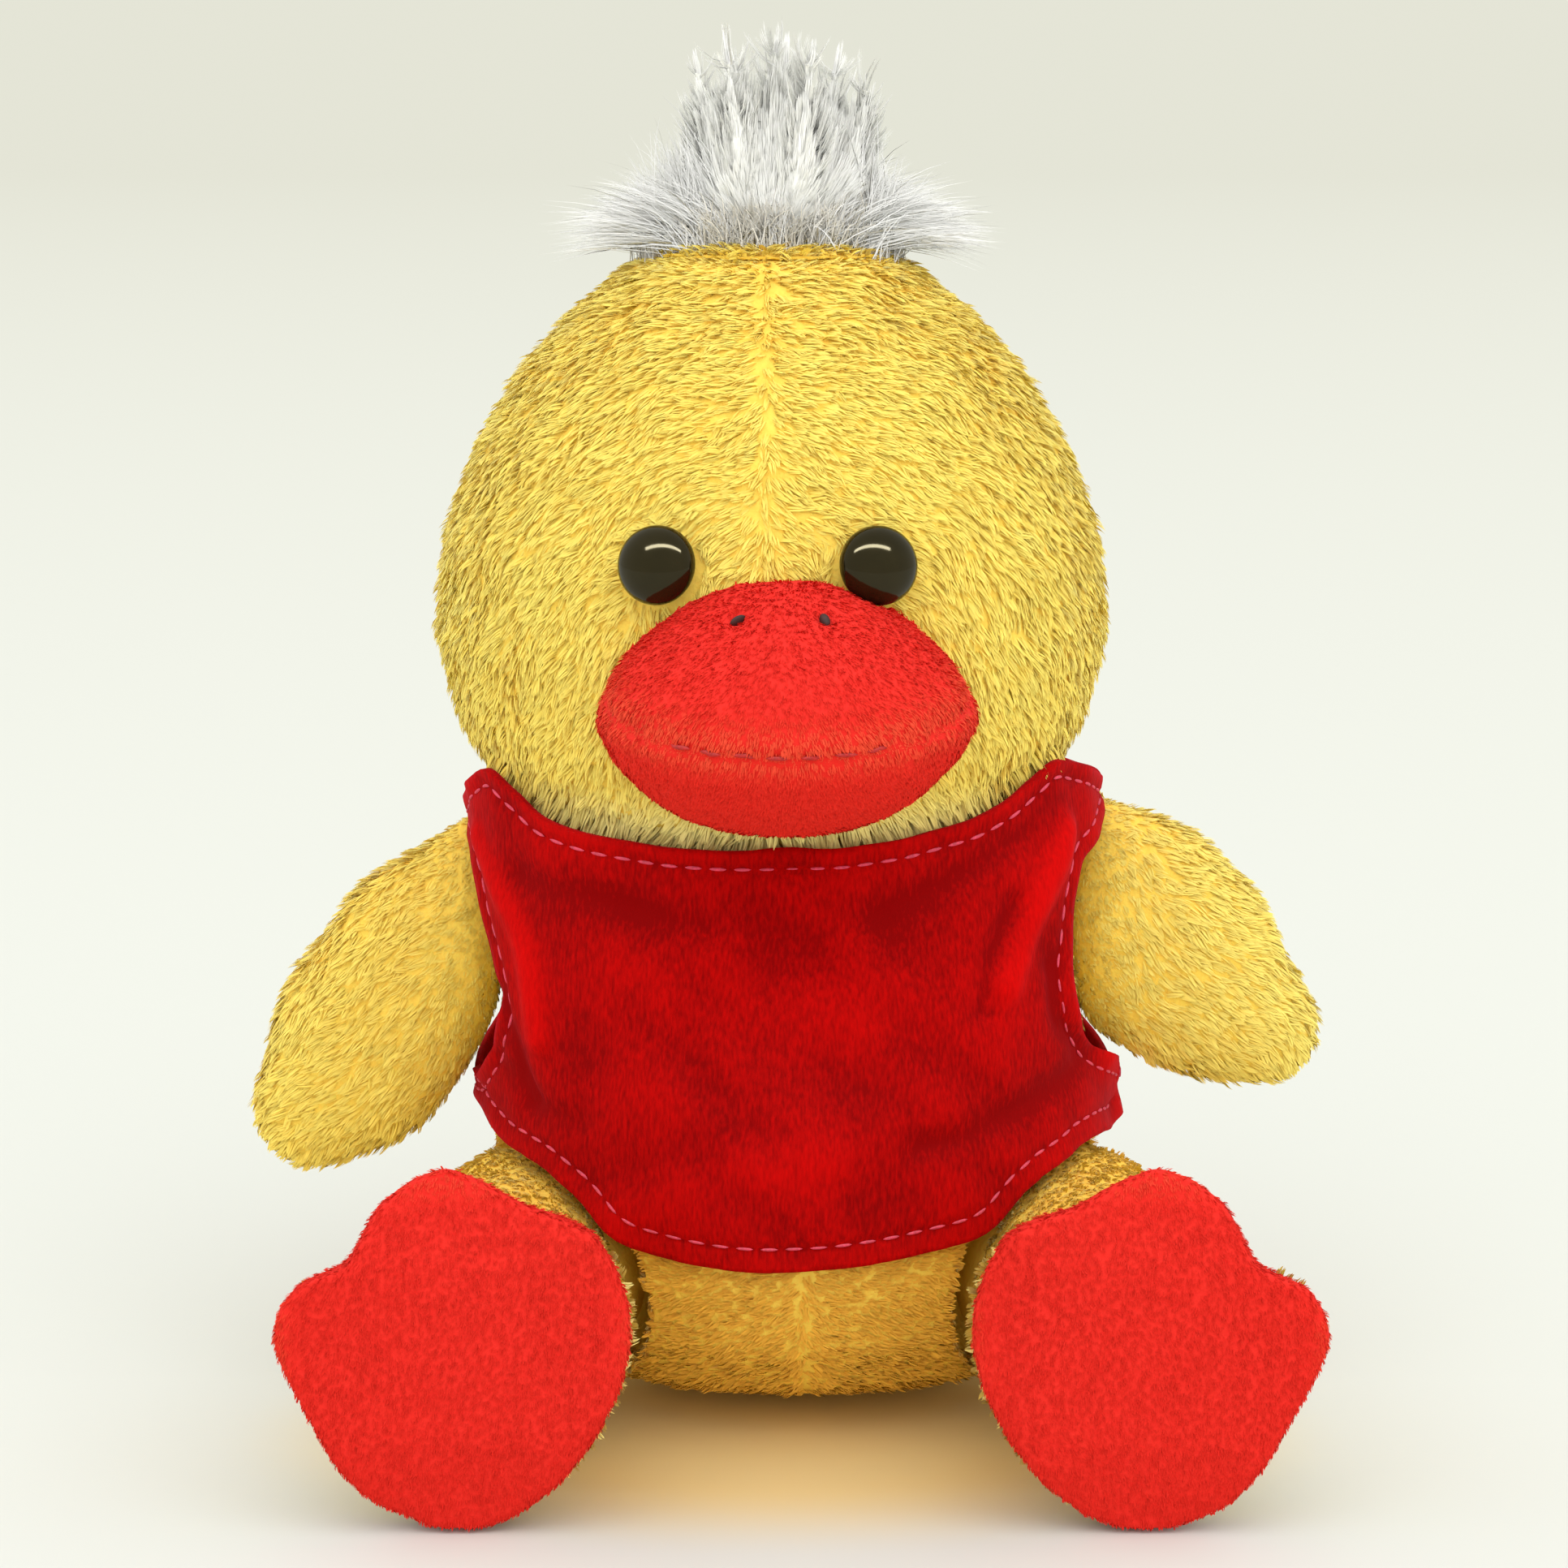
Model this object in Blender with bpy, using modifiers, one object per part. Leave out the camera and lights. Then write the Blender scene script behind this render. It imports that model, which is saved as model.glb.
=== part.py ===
"""Sitting plush duck: sewn plush covers over stuffing, safety eyes, a soft bill, a fur tuft and a vest.

Metres, +Z up. The duck faces -Y and its own left is +X. The origin is on the floor under the seat.
"""

import math

import bmesh
import bpy
from mathutils import Matrix, Vector
from mathutils.bvhtree import BVHTree

# Cloth and clearances
cover_thickness = 0.0012
sewn_gap = 0.0003
turn_gap = 0.0006
fill_gap = 0.0006
overrun = 0.004
floor_cut = 0.0005

# Head: round in plan, widest below its middle
head_width = 0.0838
head_low = 0.0660
head_top = 0.1425
head_shift = -0.0015
head_ring_shares = (
    (0.00, 0.46),
    (0.10, 0.80),
    (0.38, 1.04),
    (0.70, 0.88),
    (0.93, 0.56),
    (1.00, 0.26),
)

# Body: a pear that is wide at the seat and open at the top, where the head sits in it
body_width = 0.0765
body_front = 0.0385
body_back = 0.0365
body_top = 0.0850
seat_shift = 0.0020
body_ring_shares = (
    (0.00, 0.78, 0.52, 0.10),
    (0.13, 0.97, 0.86, 0.02),
    (0.36, 1.02, 1.04, 0.00),
    (0.64, 0.91, 0.94, 0.03),
    (0.90, 0.95, 0.86, 0.05),
    (1.00, 0.84, 0.62, 0.06),
)

# Bill: one stuffed lens that two panels cover
bill_width = 0.0440
bill_reach = 0.0200
bill_low = 0.0768
bill_top = 0.1068
bill_seam_height = 0.0945
bill_seam_tilt = math.radians(14)
bill_ring_shares = (
    (0.00, 0.34, 0.40, 0.20),
    (0.16, 0.74, 0.74, 0.08),
    (0.46, 1.04, 1.02, 0.00),
    (0.72, 0.84, 0.84, 0.08),
    (0.92, 0.52, 0.58, 0.24),
    (1.00, 0.27, 0.34, 0.30),
)

# Eyes: a domed plastic head on a ribbed post, held by a lock washer inside the cover
eye_radius = 0.0046
eye_dome = 0.0030
eye_rim = 0.0006
eye_rise = 0.0012
eye_spacing = 0.0256
eye_shift = -0.0004
post_radius = 0.0013
post_rib = 0.0004
post_length = 0.0080
post_ribs = 3
rib_start_share = 0.5
rib_peak_share = 0.25
rib_share = 0.5
washer_radius = 0.0052
washer_thickness = 0.0009
washer_collar = 0.0022
washer_collar_height = 0.0010
eye_rim_share = 0.55
eye_seat = 0.0006
washer_seat = 0.0014

# Hair: a round fur patch and a plume of locks
patch_radius = 0.0150
patch_thickness = 0.0010
tuft_height = 0.0255
tuft_width = 0.0300
tuft_depth = 0.0150
tuft_back = 0.0010
lock_radius = 0.0046
lock_tip = 0.0009
tuft_mound_share = 0.42
lock_shares = (
    (-0.72, 0.00, 0.93),
    (-0.46, -0.55, 0.98),
    (-0.40, 0.60, 0.90),
    (-0.06, -0.10, 1.00),
    (0.02, 0.75, 0.94),
    (0.22, -0.70, 0.95),
    (0.46, 0.30, 0.90),
    (0.74, -0.15, 0.84),
)
lock_lean_share = 0.28
lock_spread_share = 0.25
lock_waist_share = 0.33

# Wings: leaf shaped, hinged on the near-upright seam at the body's side
wing_drop = 0.0100
wing_seam = 0.0290
wing_edge = 0.0020
wing_root_share = 0.8
wing_lean_rate = 1.25
wing_thickness = 0.0190
wing_length_left = 0.0340
wing_length_right = 0.0410
wing_droop_left = math.radians(38)
wing_droop_right = math.radians(50)
wing_inset_left = 0.0011
wing_inset_right = 0.0012
wing_ring_shares = (
    (0.00, 1.00, 0.00),
    (0.14, 1.02, 0.86),
    (0.36, 0.94, 1.04),
    (0.66, 0.76, 0.94),
    (0.91, 0.52, 0.66),
    (1.00, 0.26, 0.30),
)

# Legs: a ball at the hip that turns in the body, running on into a short tapered tube
hip_inset = 0.00525
hip_forward = 0.0130
hip_height = 0.0185
hip_radius = 0.0160
shin_radius = 0.0132
toe_out = math.radians(6)

# Feet: webbed pads that face forward, with a plush upper and a flat sole
foot_aside = 0.0060
foot_width = 0.0412
foot_length = 0.0420
foot_front = 0.0610
foot_thickness = 0.0150
foot_edge = 0.0060
sole_thickness = 0.0034
sole_edge = 0.0016
foot_outline_shares = (
    (0.08, -1.00),
    (0.58, -0.72),
    (0.92, -0.20),
    (0.98, 0.30),
    (0.76, 0.68),
    (0.38, 0.80),
    (-0.06, 1.00),
    (-0.42, 0.80),
    (-0.58, 0.50),
    (-0.84, 0.40),
    (-1.00, 0.10),
    (-0.84, -0.28),
    (-0.44, -0.82),
)

# Tail: a short pad that points up and back under the vest
tail_width = 0.0200
tail_low = 0.0085
tail_top = 0.0265
tail_reach = 0.0130
tail_root = 0.0120
tail_seam_tilt = math.radians(30)
tail_ring_shares = (
    (0.00, 0.70, 0.55, -0.30),
    (0.35, 1.04, 0.96, -0.02),
    (0.75, 0.72, 0.56, 0.34),
    (1.00, 0.28, 0.24, 0.66),
)

# Vest: a front and a back panel worn over the body
vest_thickness = 0.0012
vest_hem_side = 0.0325
vest_hem_front = 0.0235
vest_hem_back = 0.0295
armhole_margin = 0.0048
armhole_drop = 0.0032
armhole_depth = 0.0396

# Facets: points round each form, and along its turned and curved stretches
big_around = 12
fill_around = 8
wing_around = 8
small_around = 8
mound_around = 12
turned_steps = 16
eye_steps = 20
arc_steps = 6
foot_points = 2
edge_segments = 2
edge_angle = math.radians(60)
sharp_angle = math.radians(40)
merge_distance = 0.00001
marker_size = 0.0200

YELLOW = (0.93, 0.62, 0.16, 1.0)
RED = (0.80, 0.03, 0.015, 1.0)
VEST_RED = (0.42, 0.003, 0.006, 1.0)
WHITE = (0.90, 0.87, 0.80, 1.0)
FIBRE = (0.85, 0.85, 0.83, 1.0)
BLACK = (0.012, 0.010, 0.008, 1.0)
CLEAR_GREY = (0.55, 0.55, 0.55, 1.0)

SIDES = {"left": 1, "right": -1}


def clear_scene():
    """Remove the objects that the scene starts with."""
    for thing in list(bpy.data.objects):
        bpy.data.objects.remove(thing)


def new_collection(name):
    """Add a collection to the scene."""
    made = bpy.data.collections.new(name)
    bpy.context.scene.collection.children.link(made)
    return made


def make_material(name, colour, roughness):
    """Make a plain Principled material."""
    made = bpy.data.materials.new(name)
    made.use_nodes = True
    shader = made.node_tree.nodes["Principled BSDF"]
    shader.inputs["Base Color"].default_value = colour
    shader.inputs["Roughness"].default_value = roughness
    shader.inputs["Metallic"].default_value = 0.0
    made.diffuse_color = colour
    return made


def add_part(name, mesh, finish, parent=None, place=None):
    """Put a mesh into the duck's collection as a named part."""
    part = bpy.data.objects.new(name, mesh)
    parts.objects.link(part)
    mesh.materials.clear()
    mesh.materials.append(finish)
    part.parent = parent
    part.matrix_local = place if place else Matrix.Identity(4)
    mesh.set_sharp_from_angle(angle=sharp_angle)
    return part


def add_cutter(name, mesh, parent=None, place=None):
    """Put a mesh into the cutters' collection, hidden from the build."""
    cutter = bpy.data.objects.new(name, mesh)
    cutters.objects.link(cutter)
    cutter.parent = parent
    cutter.matrix_local = place if place else Matrix.Identity(4)
    cutter.hide_render = True
    cutter.display_type = "WIRE"
    return cutter


def add_pivot(name, place):
    """Add an empty that stands on a joint's axis."""
    pivot = bpy.data.objects.new(name, None)
    parts.objects.link(pivot)
    pivot.empty_display_size = marker_size
    pivot.matrix_world = place
    return pivot


def boolean(part, cutter, operation):
    """Add one exact Boolean to a part."""
    step = part.modifiers.new(cutter.name, "BOOLEAN")
    step.operation = operation
    step.object = cutter
    step.solver = "EXACT"


def cut(part, *with_cutters):
    """Take each cutter away from a part."""
    for cutter in with_cutters:
        boolean(part, cutter, "DIFFERENCE")


def keep(part, *with_cutters):
    """Keep what a part shares with each cutter."""
    for cutter in with_cutters:
        boolean(part, cutter, "INTERSECT")


def mesh_from(work, name):
    """Close a bmesh into a smooth-shaded mesh with its faces pointing out."""
    bmesh.ops.recalc_face_normals(work, faces=work.faces)
    mesh = bpy.data.meshes.new(name)
    work.to_mesh(mesh)
    work.free()
    mesh.shade_smooth()
    return mesh


def applied(name, mesh, *settings):
    """Apply modifiers, each given as its type and its values, and return the finished mesh."""
    holder = bpy.data.objects.new(name, mesh)
    bpy.context.scene.collection.objects.link(holder)
    for kind, values in settings:
        step = holder.modifiers.new(kind, kind)
        for key, value in values.items():
            setattr(step, key, value)
    graph = bpy.context.evaluated_depsgraph_get()
    finished = bpy.data.meshes.new_from_object(holder.evaluated_get(graph))
    finished.name = name
    bpy.data.objects.remove(holder)
    return finished


def loft(name, rings):
    """Join closed rings of equal count into a cage and smooth it once."""
    work = bmesh.new()
    loops = [[work.verts.new(point) for point in ring] for ring in rings]
    count = len(loops[0])
    for lower, upper in zip(loops, loops[1:]):
        for index in range(count):
            after = (index + 1) % count
            work.faces.new((lower[index], lower[after], upper[after], upper[index]))
    work.faces.new(loops[0])
    work.faces.new(loops[-1])
    cage = mesh_from(work, name)
    return applied(name, cage, ("SUBSURF", {"levels": 1, "render_levels": 1}))


def fitted(mesh, low, high):
    """Stretch a mesh so that its box has the given corners."""
    points = [vertex.co for vertex in mesh.vertices]
    for axis in range(3):
        least = min(point[axis] for point in points)
        most = max(point[axis] for point in points)
        scale = (high[axis] - low[axis]) / (most - least)
        for point in points:
            point[axis] = low[axis] + (point[axis] - least) * scale
    return mesh


def ring_form(name, low, high, ring_shares, around):
    """A form that swells and tapers upward, its rings given as shares of its box."""
    rings = []
    for height, width, depth, shift in ring_shares:
        rings.append([
            Vector((
                width * math.cos(turn),
                shift + depth * math.sin(turn),
                height,
            ))
            for turn in (2 * math.pi * index / around for index in range(around))
        ])
    return fitted(loft(name, rings), low, high)


def turned(name, profile, steps=None):
    """Turn a profile of radius and height pairs, listed top to bottom, about the Z axis."""
    work = bmesh.new()
    line = [work.verts.new((radius, 0.0, height)) for radius, height in profile]
    for upper, lower in zip(line, line[1:]):
        work.edges.new((upper, lower))
    mesh = bpy.data.meshes.new(name)
    work.to_mesh(mesh)
    work.free()
    count = steps or turned_steps
    screw = {
        "steps": count,
        "render_steps": count,
        "use_merge_vertices": True,
        "merge_threshold": merge_distance,
    }
    finished = applied(name, mesh, ("SCREW", screw))
    finished.shade_smooth()
    return finished


def block(name, low, high):
    """A box between two corners."""
    work = bmesh.new()
    bmesh.ops.create_cube(work, size=1.0)
    size = Matrix.Diagonal(Vector(high) - Vector(low)).to_4x4()
    middle = Matrix.Translation((Vector(high) + Vector(low)) / 2)
    bmesh.ops.transform(work, matrix=middle @ size, verts=work.verts)
    return mesh_from(work, name)


def arc(radius, start, end, steps):
    """Points of an arc about the origin, as (across, along) pairs."""
    turns = (start + (end - start) * step / steps for step in range(steps + 1))
    return [(radius * math.sin(turn), radius * math.cos(turn)) for turn in turns]


def surface_hit(tree, start, direction):
    """The point and outward normal where a ray from inside a form leaves it."""
    point, normal, _, _ = tree.ray_cast(Vector(start), Vector(direction).normalized())
    return point, normal


def tree_of(mesh):
    """A search tree for rays against a closed form."""
    points = [vertex.co.copy() for vertex in mesh.vertices]
    faces = [face.vertices for face in mesh.polygons]
    return BVHTree.FromPolygons(points, faces)


def facing(point, direction):
    """A place at a point with its Z axis along a direction."""
    return Matrix.Translation(point) @ direction.to_track_quat("Z", "Y").to_matrix().to_4x4()


# The main forms, each grown or shrunk all round by one amount


def around_for(grow):
    """Points round a big form: fewer for stuffing, which no other piece has to match."""
    return fill_around if grow < -cover_thickness else big_around


def head_form(grow=0.0):
    """The head's outer form."""
    reach = head_width / 2 + grow
    rings = [(height, radius, radius, 0.0) for height, radius in head_ring_shares]
    low = (head_shift - reach, -reach, head_low - grow)
    high = (head_shift + reach, reach, head_top + grow)
    return ring_form("head_form", low, high, rings, around_for(grow))


def body_form(grow=0.0):
    """The body's outer form, down to just below the floor, where it is cut flat."""
    reach = body_width / 2 + grow
    low = (-reach, -body_front - grow, -floor_cut - grow)
    high = (reach, body_back + grow, body_top + grow)
    form = ring_form("body_form", low, high, body_ring_shares, around_for(grow))
    for vertex in form.vertices:
        vertex.co.x += seat_shift * (1 - vertex.co.z / body_top)
    return form


def bill_form(grow=0.0):
    """The bill's form, from inside the head to its lip."""
    front = head_width / 2 + bill_reach
    root = head_width / 2 - bill_reach
    low = (-bill_width / 2 - grow, -front - grow, bill_low - grow)
    high = (bill_width / 2 + grow, -root, bill_top + grow)
    return ring_form("bill_form", low, high, bill_ring_shares, small_around)


def tail_form(grow=0.0):
    """The tail's form, from inside the body to its tip."""
    low = (-tail_width / 2 - grow, body_back - tail_root, tail_low - grow)
    high = (tail_width / 2 + grow, body_back + tail_reach + grow, tail_top + grow)
    return ring_form("tail_form", low, high, tail_ring_shares, small_around)


def wing_form(side, grow=0.0):
    """A wing in its seam's own frame: X points outward, Z runs up the seam."""
    sign = SIDES[side]
    length, droop = wing_shapes[side]
    swell = 1 / math.cos(math.pi / wing_around)
    rings = []
    root = wing_root_share * wing_edge + grow
    for along, width, thick in wing_ring_shares:
        reach = along * (root + length + grow) - root
        centre = Vector((reach * math.cos(droop), 0.0, -reach * math.sin(droop)))
        lean = droop * min(1.0, wing_lean_rate * along)
        across = Vector((math.sin(lean), 0.0, math.cos(lean))) * (width * wing_seam / 2 + grow)
        half = wing_edge + thick * (wing_thickness / 2 - wing_edge) + grow
        ring = []
        for index in range(wing_around):
            turn = 2 * math.pi * index / wing_around
            point = centre + swell * (across * math.cos(turn) + Vector((0.0, half * math.sin(turn), 0.0)))
            ring.append(Vector((sign * point.x, point.y, point.z)))
        rings.append(ring)
    return loft("wing_form", rings)


def leg_profile(grow):
    """A leg's outline from its open end, at the top, down to the back of the hip ball."""
    taper = math.asin((hip_radius - shin_radius) / leg_length)
    ball = arc(hip_radius + grow, math.pi / 2 - taper, math.pi, arc_steps)
    return [(shin_radius + grow, leg_length)] + ball[:-1] + [(0.0, -hip_radius - grow)]


def leg_form(grow=0.0):
    """A solid leg, from the back of its hip ball to inside the foot."""
    return turned("leg_form", [(0.0, leg_length)] + leg_profile(grow))


def foot_outline(side, grow):
    """The webbed outline in the XZ plane, as a list of points through a smooth closed curve."""
    half_width = foot_width / 2 + grow
    half_length = foot_length / 2 + grow
    corners = [Vector((-side * x * half_width, z * half_length)) for x, z in foot_outline_shares]
    count = len(corners)
    points = []
    for index in range(count):
        before, here, after, beyond = (corners[(index + step) % count] for step in (-1, 0, 1, 2))
        for step in range(foot_points):
            share = step / foot_points
            pull = (after - before) / 2
            push = (beyond - here) / 2
            points.append(
                here * (2 * share**3 - 3 * share**2 + 1)
                + pull * (share**3 - 2 * share**2 + share)
                + after * (3 * share**2 - 2 * share**3)
                + push * (share**3 - share**2)
            )
    return points


def foot_form(name, side, grow, front, back, edge):
    """A pad with the foot's outline between two depths, its rims rounded."""
    outline = bpy.data.curves.new(name, "CURVE")
    outline.dimensions = "2D"
    outline.fill_mode = "BOTH"
    outline.extrude = (back - front) / 2
    points = foot_outline(side, grow)
    spline = outline.splines.new("POLY")
    spline.points.add(len(points) - 1)
    for target, point in zip(spline.points, points):
        target.co = (point.x, point.y, 0.0, 1.0)
    spline.use_cyclic_u = True
    holder = bpy.data.objects.new(name, outline)
    bpy.context.scene.collection.objects.link(holder)
    graph = bpy.context.evaluated_depsgraph_get()
    flat = bpy.data.meshes.new_from_object(holder.evaluated_get(graph))
    bpy.data.objects.remove(holder)
    work = bmesh.new()
    work.from_mesh(flat)
    bmesh.ops.remove_doubles(work, verts=work.verts, dist=merge_distance)
    stand = Matrix.Translation((0.0, (front + back) / 2, 0.0)) @ Matrix.Rotation(math.pi / 2, 4, "X")
    bmesh.ops.transform(work, matrix=stand, verts=work.verts)
    pad = mesh_from(work, name)
    if not edge:
        return pad
    rounding = {
        "width": edge,
        "segments": edge_segments,
        "limit_method": "ANGLE",
        "angle_limit": edge_angle,
    }
    return applied(name, pad, ("BEVEL", rounding))


# The pieces


def build_head():
    """Two side panels with a seam over the crown, round one ball of stuffing."""
    inner = add_cutter("head_inside", head_form(-cover_thickness))
    halves = {
        "left": block("left_half", (head_shift + seam_half, -far, -far), (far, far, far)),
        "right": block("right_half", (-far, -far, -far), (head_shift - seam_half, far, far)),
    }
    for side in SIDES:
        half = add_cutter(f"head_{side}_half", halves[side])
        panel = add_part(f"head_panel_{side}", head_form(), yellow_plush)
        keep(panel, half)
        cut(panel, inner)
        cut(panel, *eye_holes[side])
    stuffing = add_part("head_stuffing", head_form(-cover_thickness - fill_gap), fibre)
    cut(stuffing, *eye_pockets)


def eye_place(side):
    """Where an eye sits: on the head's surface, facing out along its normal."""
    across = eye_shift + SIDES[side] * eye_spacing / 2
    ahead = -math.sqrt((head_width / 2) ** 2 - across**2)
    outward = Vector((across, ahead, 0.0))
    point, above, below = (
        surface_hit(head_tree, (head_shift, 0.0, eye_height + rise), outward)[0]
        for rise in (0.0, eye_radius, -eye_radius)
    )
    level = outward.cross(Vector((0.0, 0.0, 1.0)))
    return facing(point, (above - below).cross(level))


def build_eye_cutters():
    """The holes for the posts, the pockets for the washers and the room that the rims need."""
    for side in SIDES:
        place = eye_place(side)
        hole_radius = post_radius + post_rib + sewn_gap
        hole = turned("eye_hole", [
            (0.0, overrun),
            (hole_radius, overrun),
            (hole_radius, -cover_thickness - overrun),
            (0.0, -cover_thickness - overrun),
        ])
        eye_holes[side].append(add_cutter(f"eye_{side}_hole", hole, None, place))
        wide = washer_radius + fill_gap
        deep = post_length + fill_gap
        pocket = turned("eye_pocket", [(0.0, overrun), (wide, overrun), (wide, -deep), (0.0, -deep)])
        eye_pockets.append(add_cutter(f"eye_{side}_pocket", pocket, None, place))
        rim = eye_radius + sewn_gap
        room = turned("eye_room", [(0.0, overrun), (rim, overrun), (rim, -overrun), (0.0, -overrun)])
        eye_rooms.append(add_cutter(f"eye_{side}_room", room, None, place))


def build_eyes():
    """A safety eye and its lock washer on each side."""
    for side in SIDES:
        place = eye_place(side)
        flat_dome = arc(1.0, 0.0, math.pi / 2, arc_steps)
        dome = [(eye_radius * out, eye_seat + eye_rim + eye_dome * up) for out, up in flat_dome]
        profile = [(0.0, dome[0][1])] + dome[1:]
        profile += [(eye_radius, eye_seat + eye_rim * eye_rim_share), (eye_radius - eye_rim, eye_seat)]
        profile += [(post_radius, eye_seat)]
        plain = cover_thickness + washer_seat + washer_thickness
        rib_pitch = (post_length - plain) / (post_ribs + 1)
        for rib in range(post_ribs):
            ring = -plain - rib_pitch * (rib + rib_start_share)
            profile += [
                (post_radius, ring),
                (post_radius + post_rib, ring - rib_pitch * rib_peak_share),
                (post_radius, ring - rib_pitch * rib_share),
            ]
        tip = -post_length
        profile += [(post_radius, tip + post_rib), (post_radius - post_rib, tip), (0.0, tip)]
        add_part(f"eye_{side}", turned("eye", profile, eye_steps), black_plastic, None, place)
        bore = post_radius + post_rib + sewn_gap
        face = -cover_thickness - washer_seat
        ring = [
            (washer_radius, face),
            (washer_radius, face - washer_thickness),
            (washer_collar + sewn_gap, face - washer_thickness),
            (washer_collar, face - washer_thickness - washer_collar_height),
            (bore, face - washer_thickness - washer_collar_height),
            (bore, face),
            (washer_radius, face),
        ]
        washer = turned("washer", ring, eye_steps)
        add_part(f"eye_washer_{side}", washer, washer_plastic, None, place)


def build_bill():
    """An upper and a lower panel, seamed along the mouth, round one pad of stuffing."""
    seat = add_cutter("bill_seat", head_form(sewn_gap))
    inner = add_cutter("bill_inside", bill_form(-cover_thickness))
    mouth = Matrix.Translation((0.0, -head_width / 2, bill_seam_height))
    seam = mouth @ Matrix.Rotation(bill_seam_tilt, 4, "X")
    upper_half = block("upper_half", (-far, -far, seam_half), (far, far, far))
    lower_half = block("lower_half", (-far, -far, -far), (far, far, -seam_half))
    above = add_cutter("above_mouth", upper_half, None, seam)
    below = add_cutter("below_mouth", lower_half, None, seam)
    for name, half in (("bill_upper", above), ("bill_lower", below)):
        panel = add_part(name, bill_form(), red_plush)
        keep(panel, half)
        cut(panel, inner, seat, *eye_rooms)
    stuffing = add_part("bill_stuffing", bill_form(-cover_thickness - sewn_gap), fibre)
    cut(stuffing, seat, *eye_rooms)


def build_hair():
    """A round patch of fur backing on the crown and the plume of locks that it carries."""
    crown = (head_shift, tuft_back, 0.0)
    outline = [(0.0, far), (patch_radius, far), (patch_radius, head_middle), (0.0, head_middle)]
    column = add_cutter("patch_column", turned("column", outline), None, Matrix.Translation(crown))
    under = add_cutter("patch_seat", head_form(sewn_gap))
    patch = add_part("hair_patch", head_form(sewn_gap + patch_thickness), white_fur)
    keep(patch, column)
    cut(patch, under)
    seat = add_cutter("tuft_seat", head_form(patch_thickness + 2 * sewn_gap))
    mound = bmesh.new()
    bmesh.ops.create_uvsphere(mound, u_segments=mound_around, v_segments=small_around, radius=1.0)
    swell = Matrix.Diagonal((tuft_width / 2, tuft_depth / 2, tuft_height * tuft_mound_share, 1.0))
    lift = Matrix.Translation((head_shift, tuft_back, head_top))
    bmesh.ops.transform(mound, matrix=lift @ swell, verts=mound.verts)
    tuft = add_part("hair_tuft", mesh_from(mound, "tuft"), white_fur)
    for number, (across, back, tall) in enumerate(lock_shares):
        length = tuft_height * tall
        reach = across * tuft_width / 2
        behind = back * tuft_depth * lock_spread_share
        foot = Vector((head_shift + reach * (1 - lock_lean_share), tuft_back + behind, head_top))
        lean = Vector((reach * 2 * lock_lean_share, behind, length))
        lock = turned("lock", [
            (0.0, length),
            (lock_tip, length - lock_tip),
            (lock_radius, length * lock_waist_share),
            (lock_radius, 0.0),
            (0.0, 0.0),
        ], small_around)
        cone = add_cutter(f"lock_{number}", lock, None, facing(foot, lean))
        boolean(tuft, cone, "UNION")
    cut(tuft, seat)


def build_body():
    """Two side panels with a centre seam, open at the neck and hips, round the stuffing."""
    inner = add_cutter("body_inside", body_form(-cover_thickness))
    halves = {
        "left": block("left_half", (seat_shift + seam_half, -far, 0.0), (far, far, far)),
        "right": block("right_half", (-far, -far, 0.0), (seat_shift - seam_half, far, far)),
    }
    for side in SIDES:
        half = add_cutter(f"body_{side}_half", halves[side])
        panel = add_part(f"body_panel_{side}", body_form(), yellow_plush)
        keep(panel, half)
        cut(panel, inner, neck_cutter, hip_cutters[side])
    stuffing = add_part("body_stuffing", body_form(-cover_thickness - fill_gap), fibre)
    cut(stuffing, neck_cutter, *hip_cutters.values())


def build_tail():
    """An upper and a lower panel round a pinch of stuffing, sewn to the back of the body."""
    seat = add_cutter("tail_seat", body_form(sewn_gap))
    inner = add_cutter("tail_inside", tail_form(-cover_thickness))
    middle = Matrix.Translation((0.0, body_back, (tail_low + tail_top) / 2))
    slope = middle @ Matrix.Rotation(tail_seam_tilt, 4, "X")
    upper_half = block("upper_half", (-far, -far, seam_half), (far, far, far))
    lower_half = block("lower_half", (-far, -far, -far), (far, far, -seam_half))
    above = add_cutter("above_tail", upper_half, None, slope)
    below = add_cutter("below_tail", lower_half, None, slope)
    for name, half in (("tail_upper", above), ("tail_lower", below)):
        panel = add_part(name, tail_form(), yellow_plush)
        keep(panel, half)
        cut(panel, inner, seat)
    stuffing = add_part("tail_stuffing", tail_form(-cover_thickness - sewn_gap), fibre)
    cut(stuffing, seat)


def wing_place(side):
    """The frame of a wing's seam: just off the body, with Z up along the body's side."""
    sign = SIDES[side]
    foot, middle, top = (
        surface_hit(body_tree, (0.0, 0.0, wing_seam_height + share * wing_seam), (sign, 0.0, 0.0))[0]
        for share in (-0.5, 0.0, 0.5)
    )
    tilt = math.atan2(top.x - foot.x, top.z - foot.z)
    bulge = max(0.0, sign * (middle.x - (top.x + foot.x) / 2))
    stand_off = wing_edge + sewn_gap + bulge - wing_insets[side]
    centre = (top + foot) / 2 + Vector((sign * stand_off, 0.0, 0.0))
    return Matrix.Translation(centre) @ Matrix.Rotation(tilt, 4, "Y")


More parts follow.
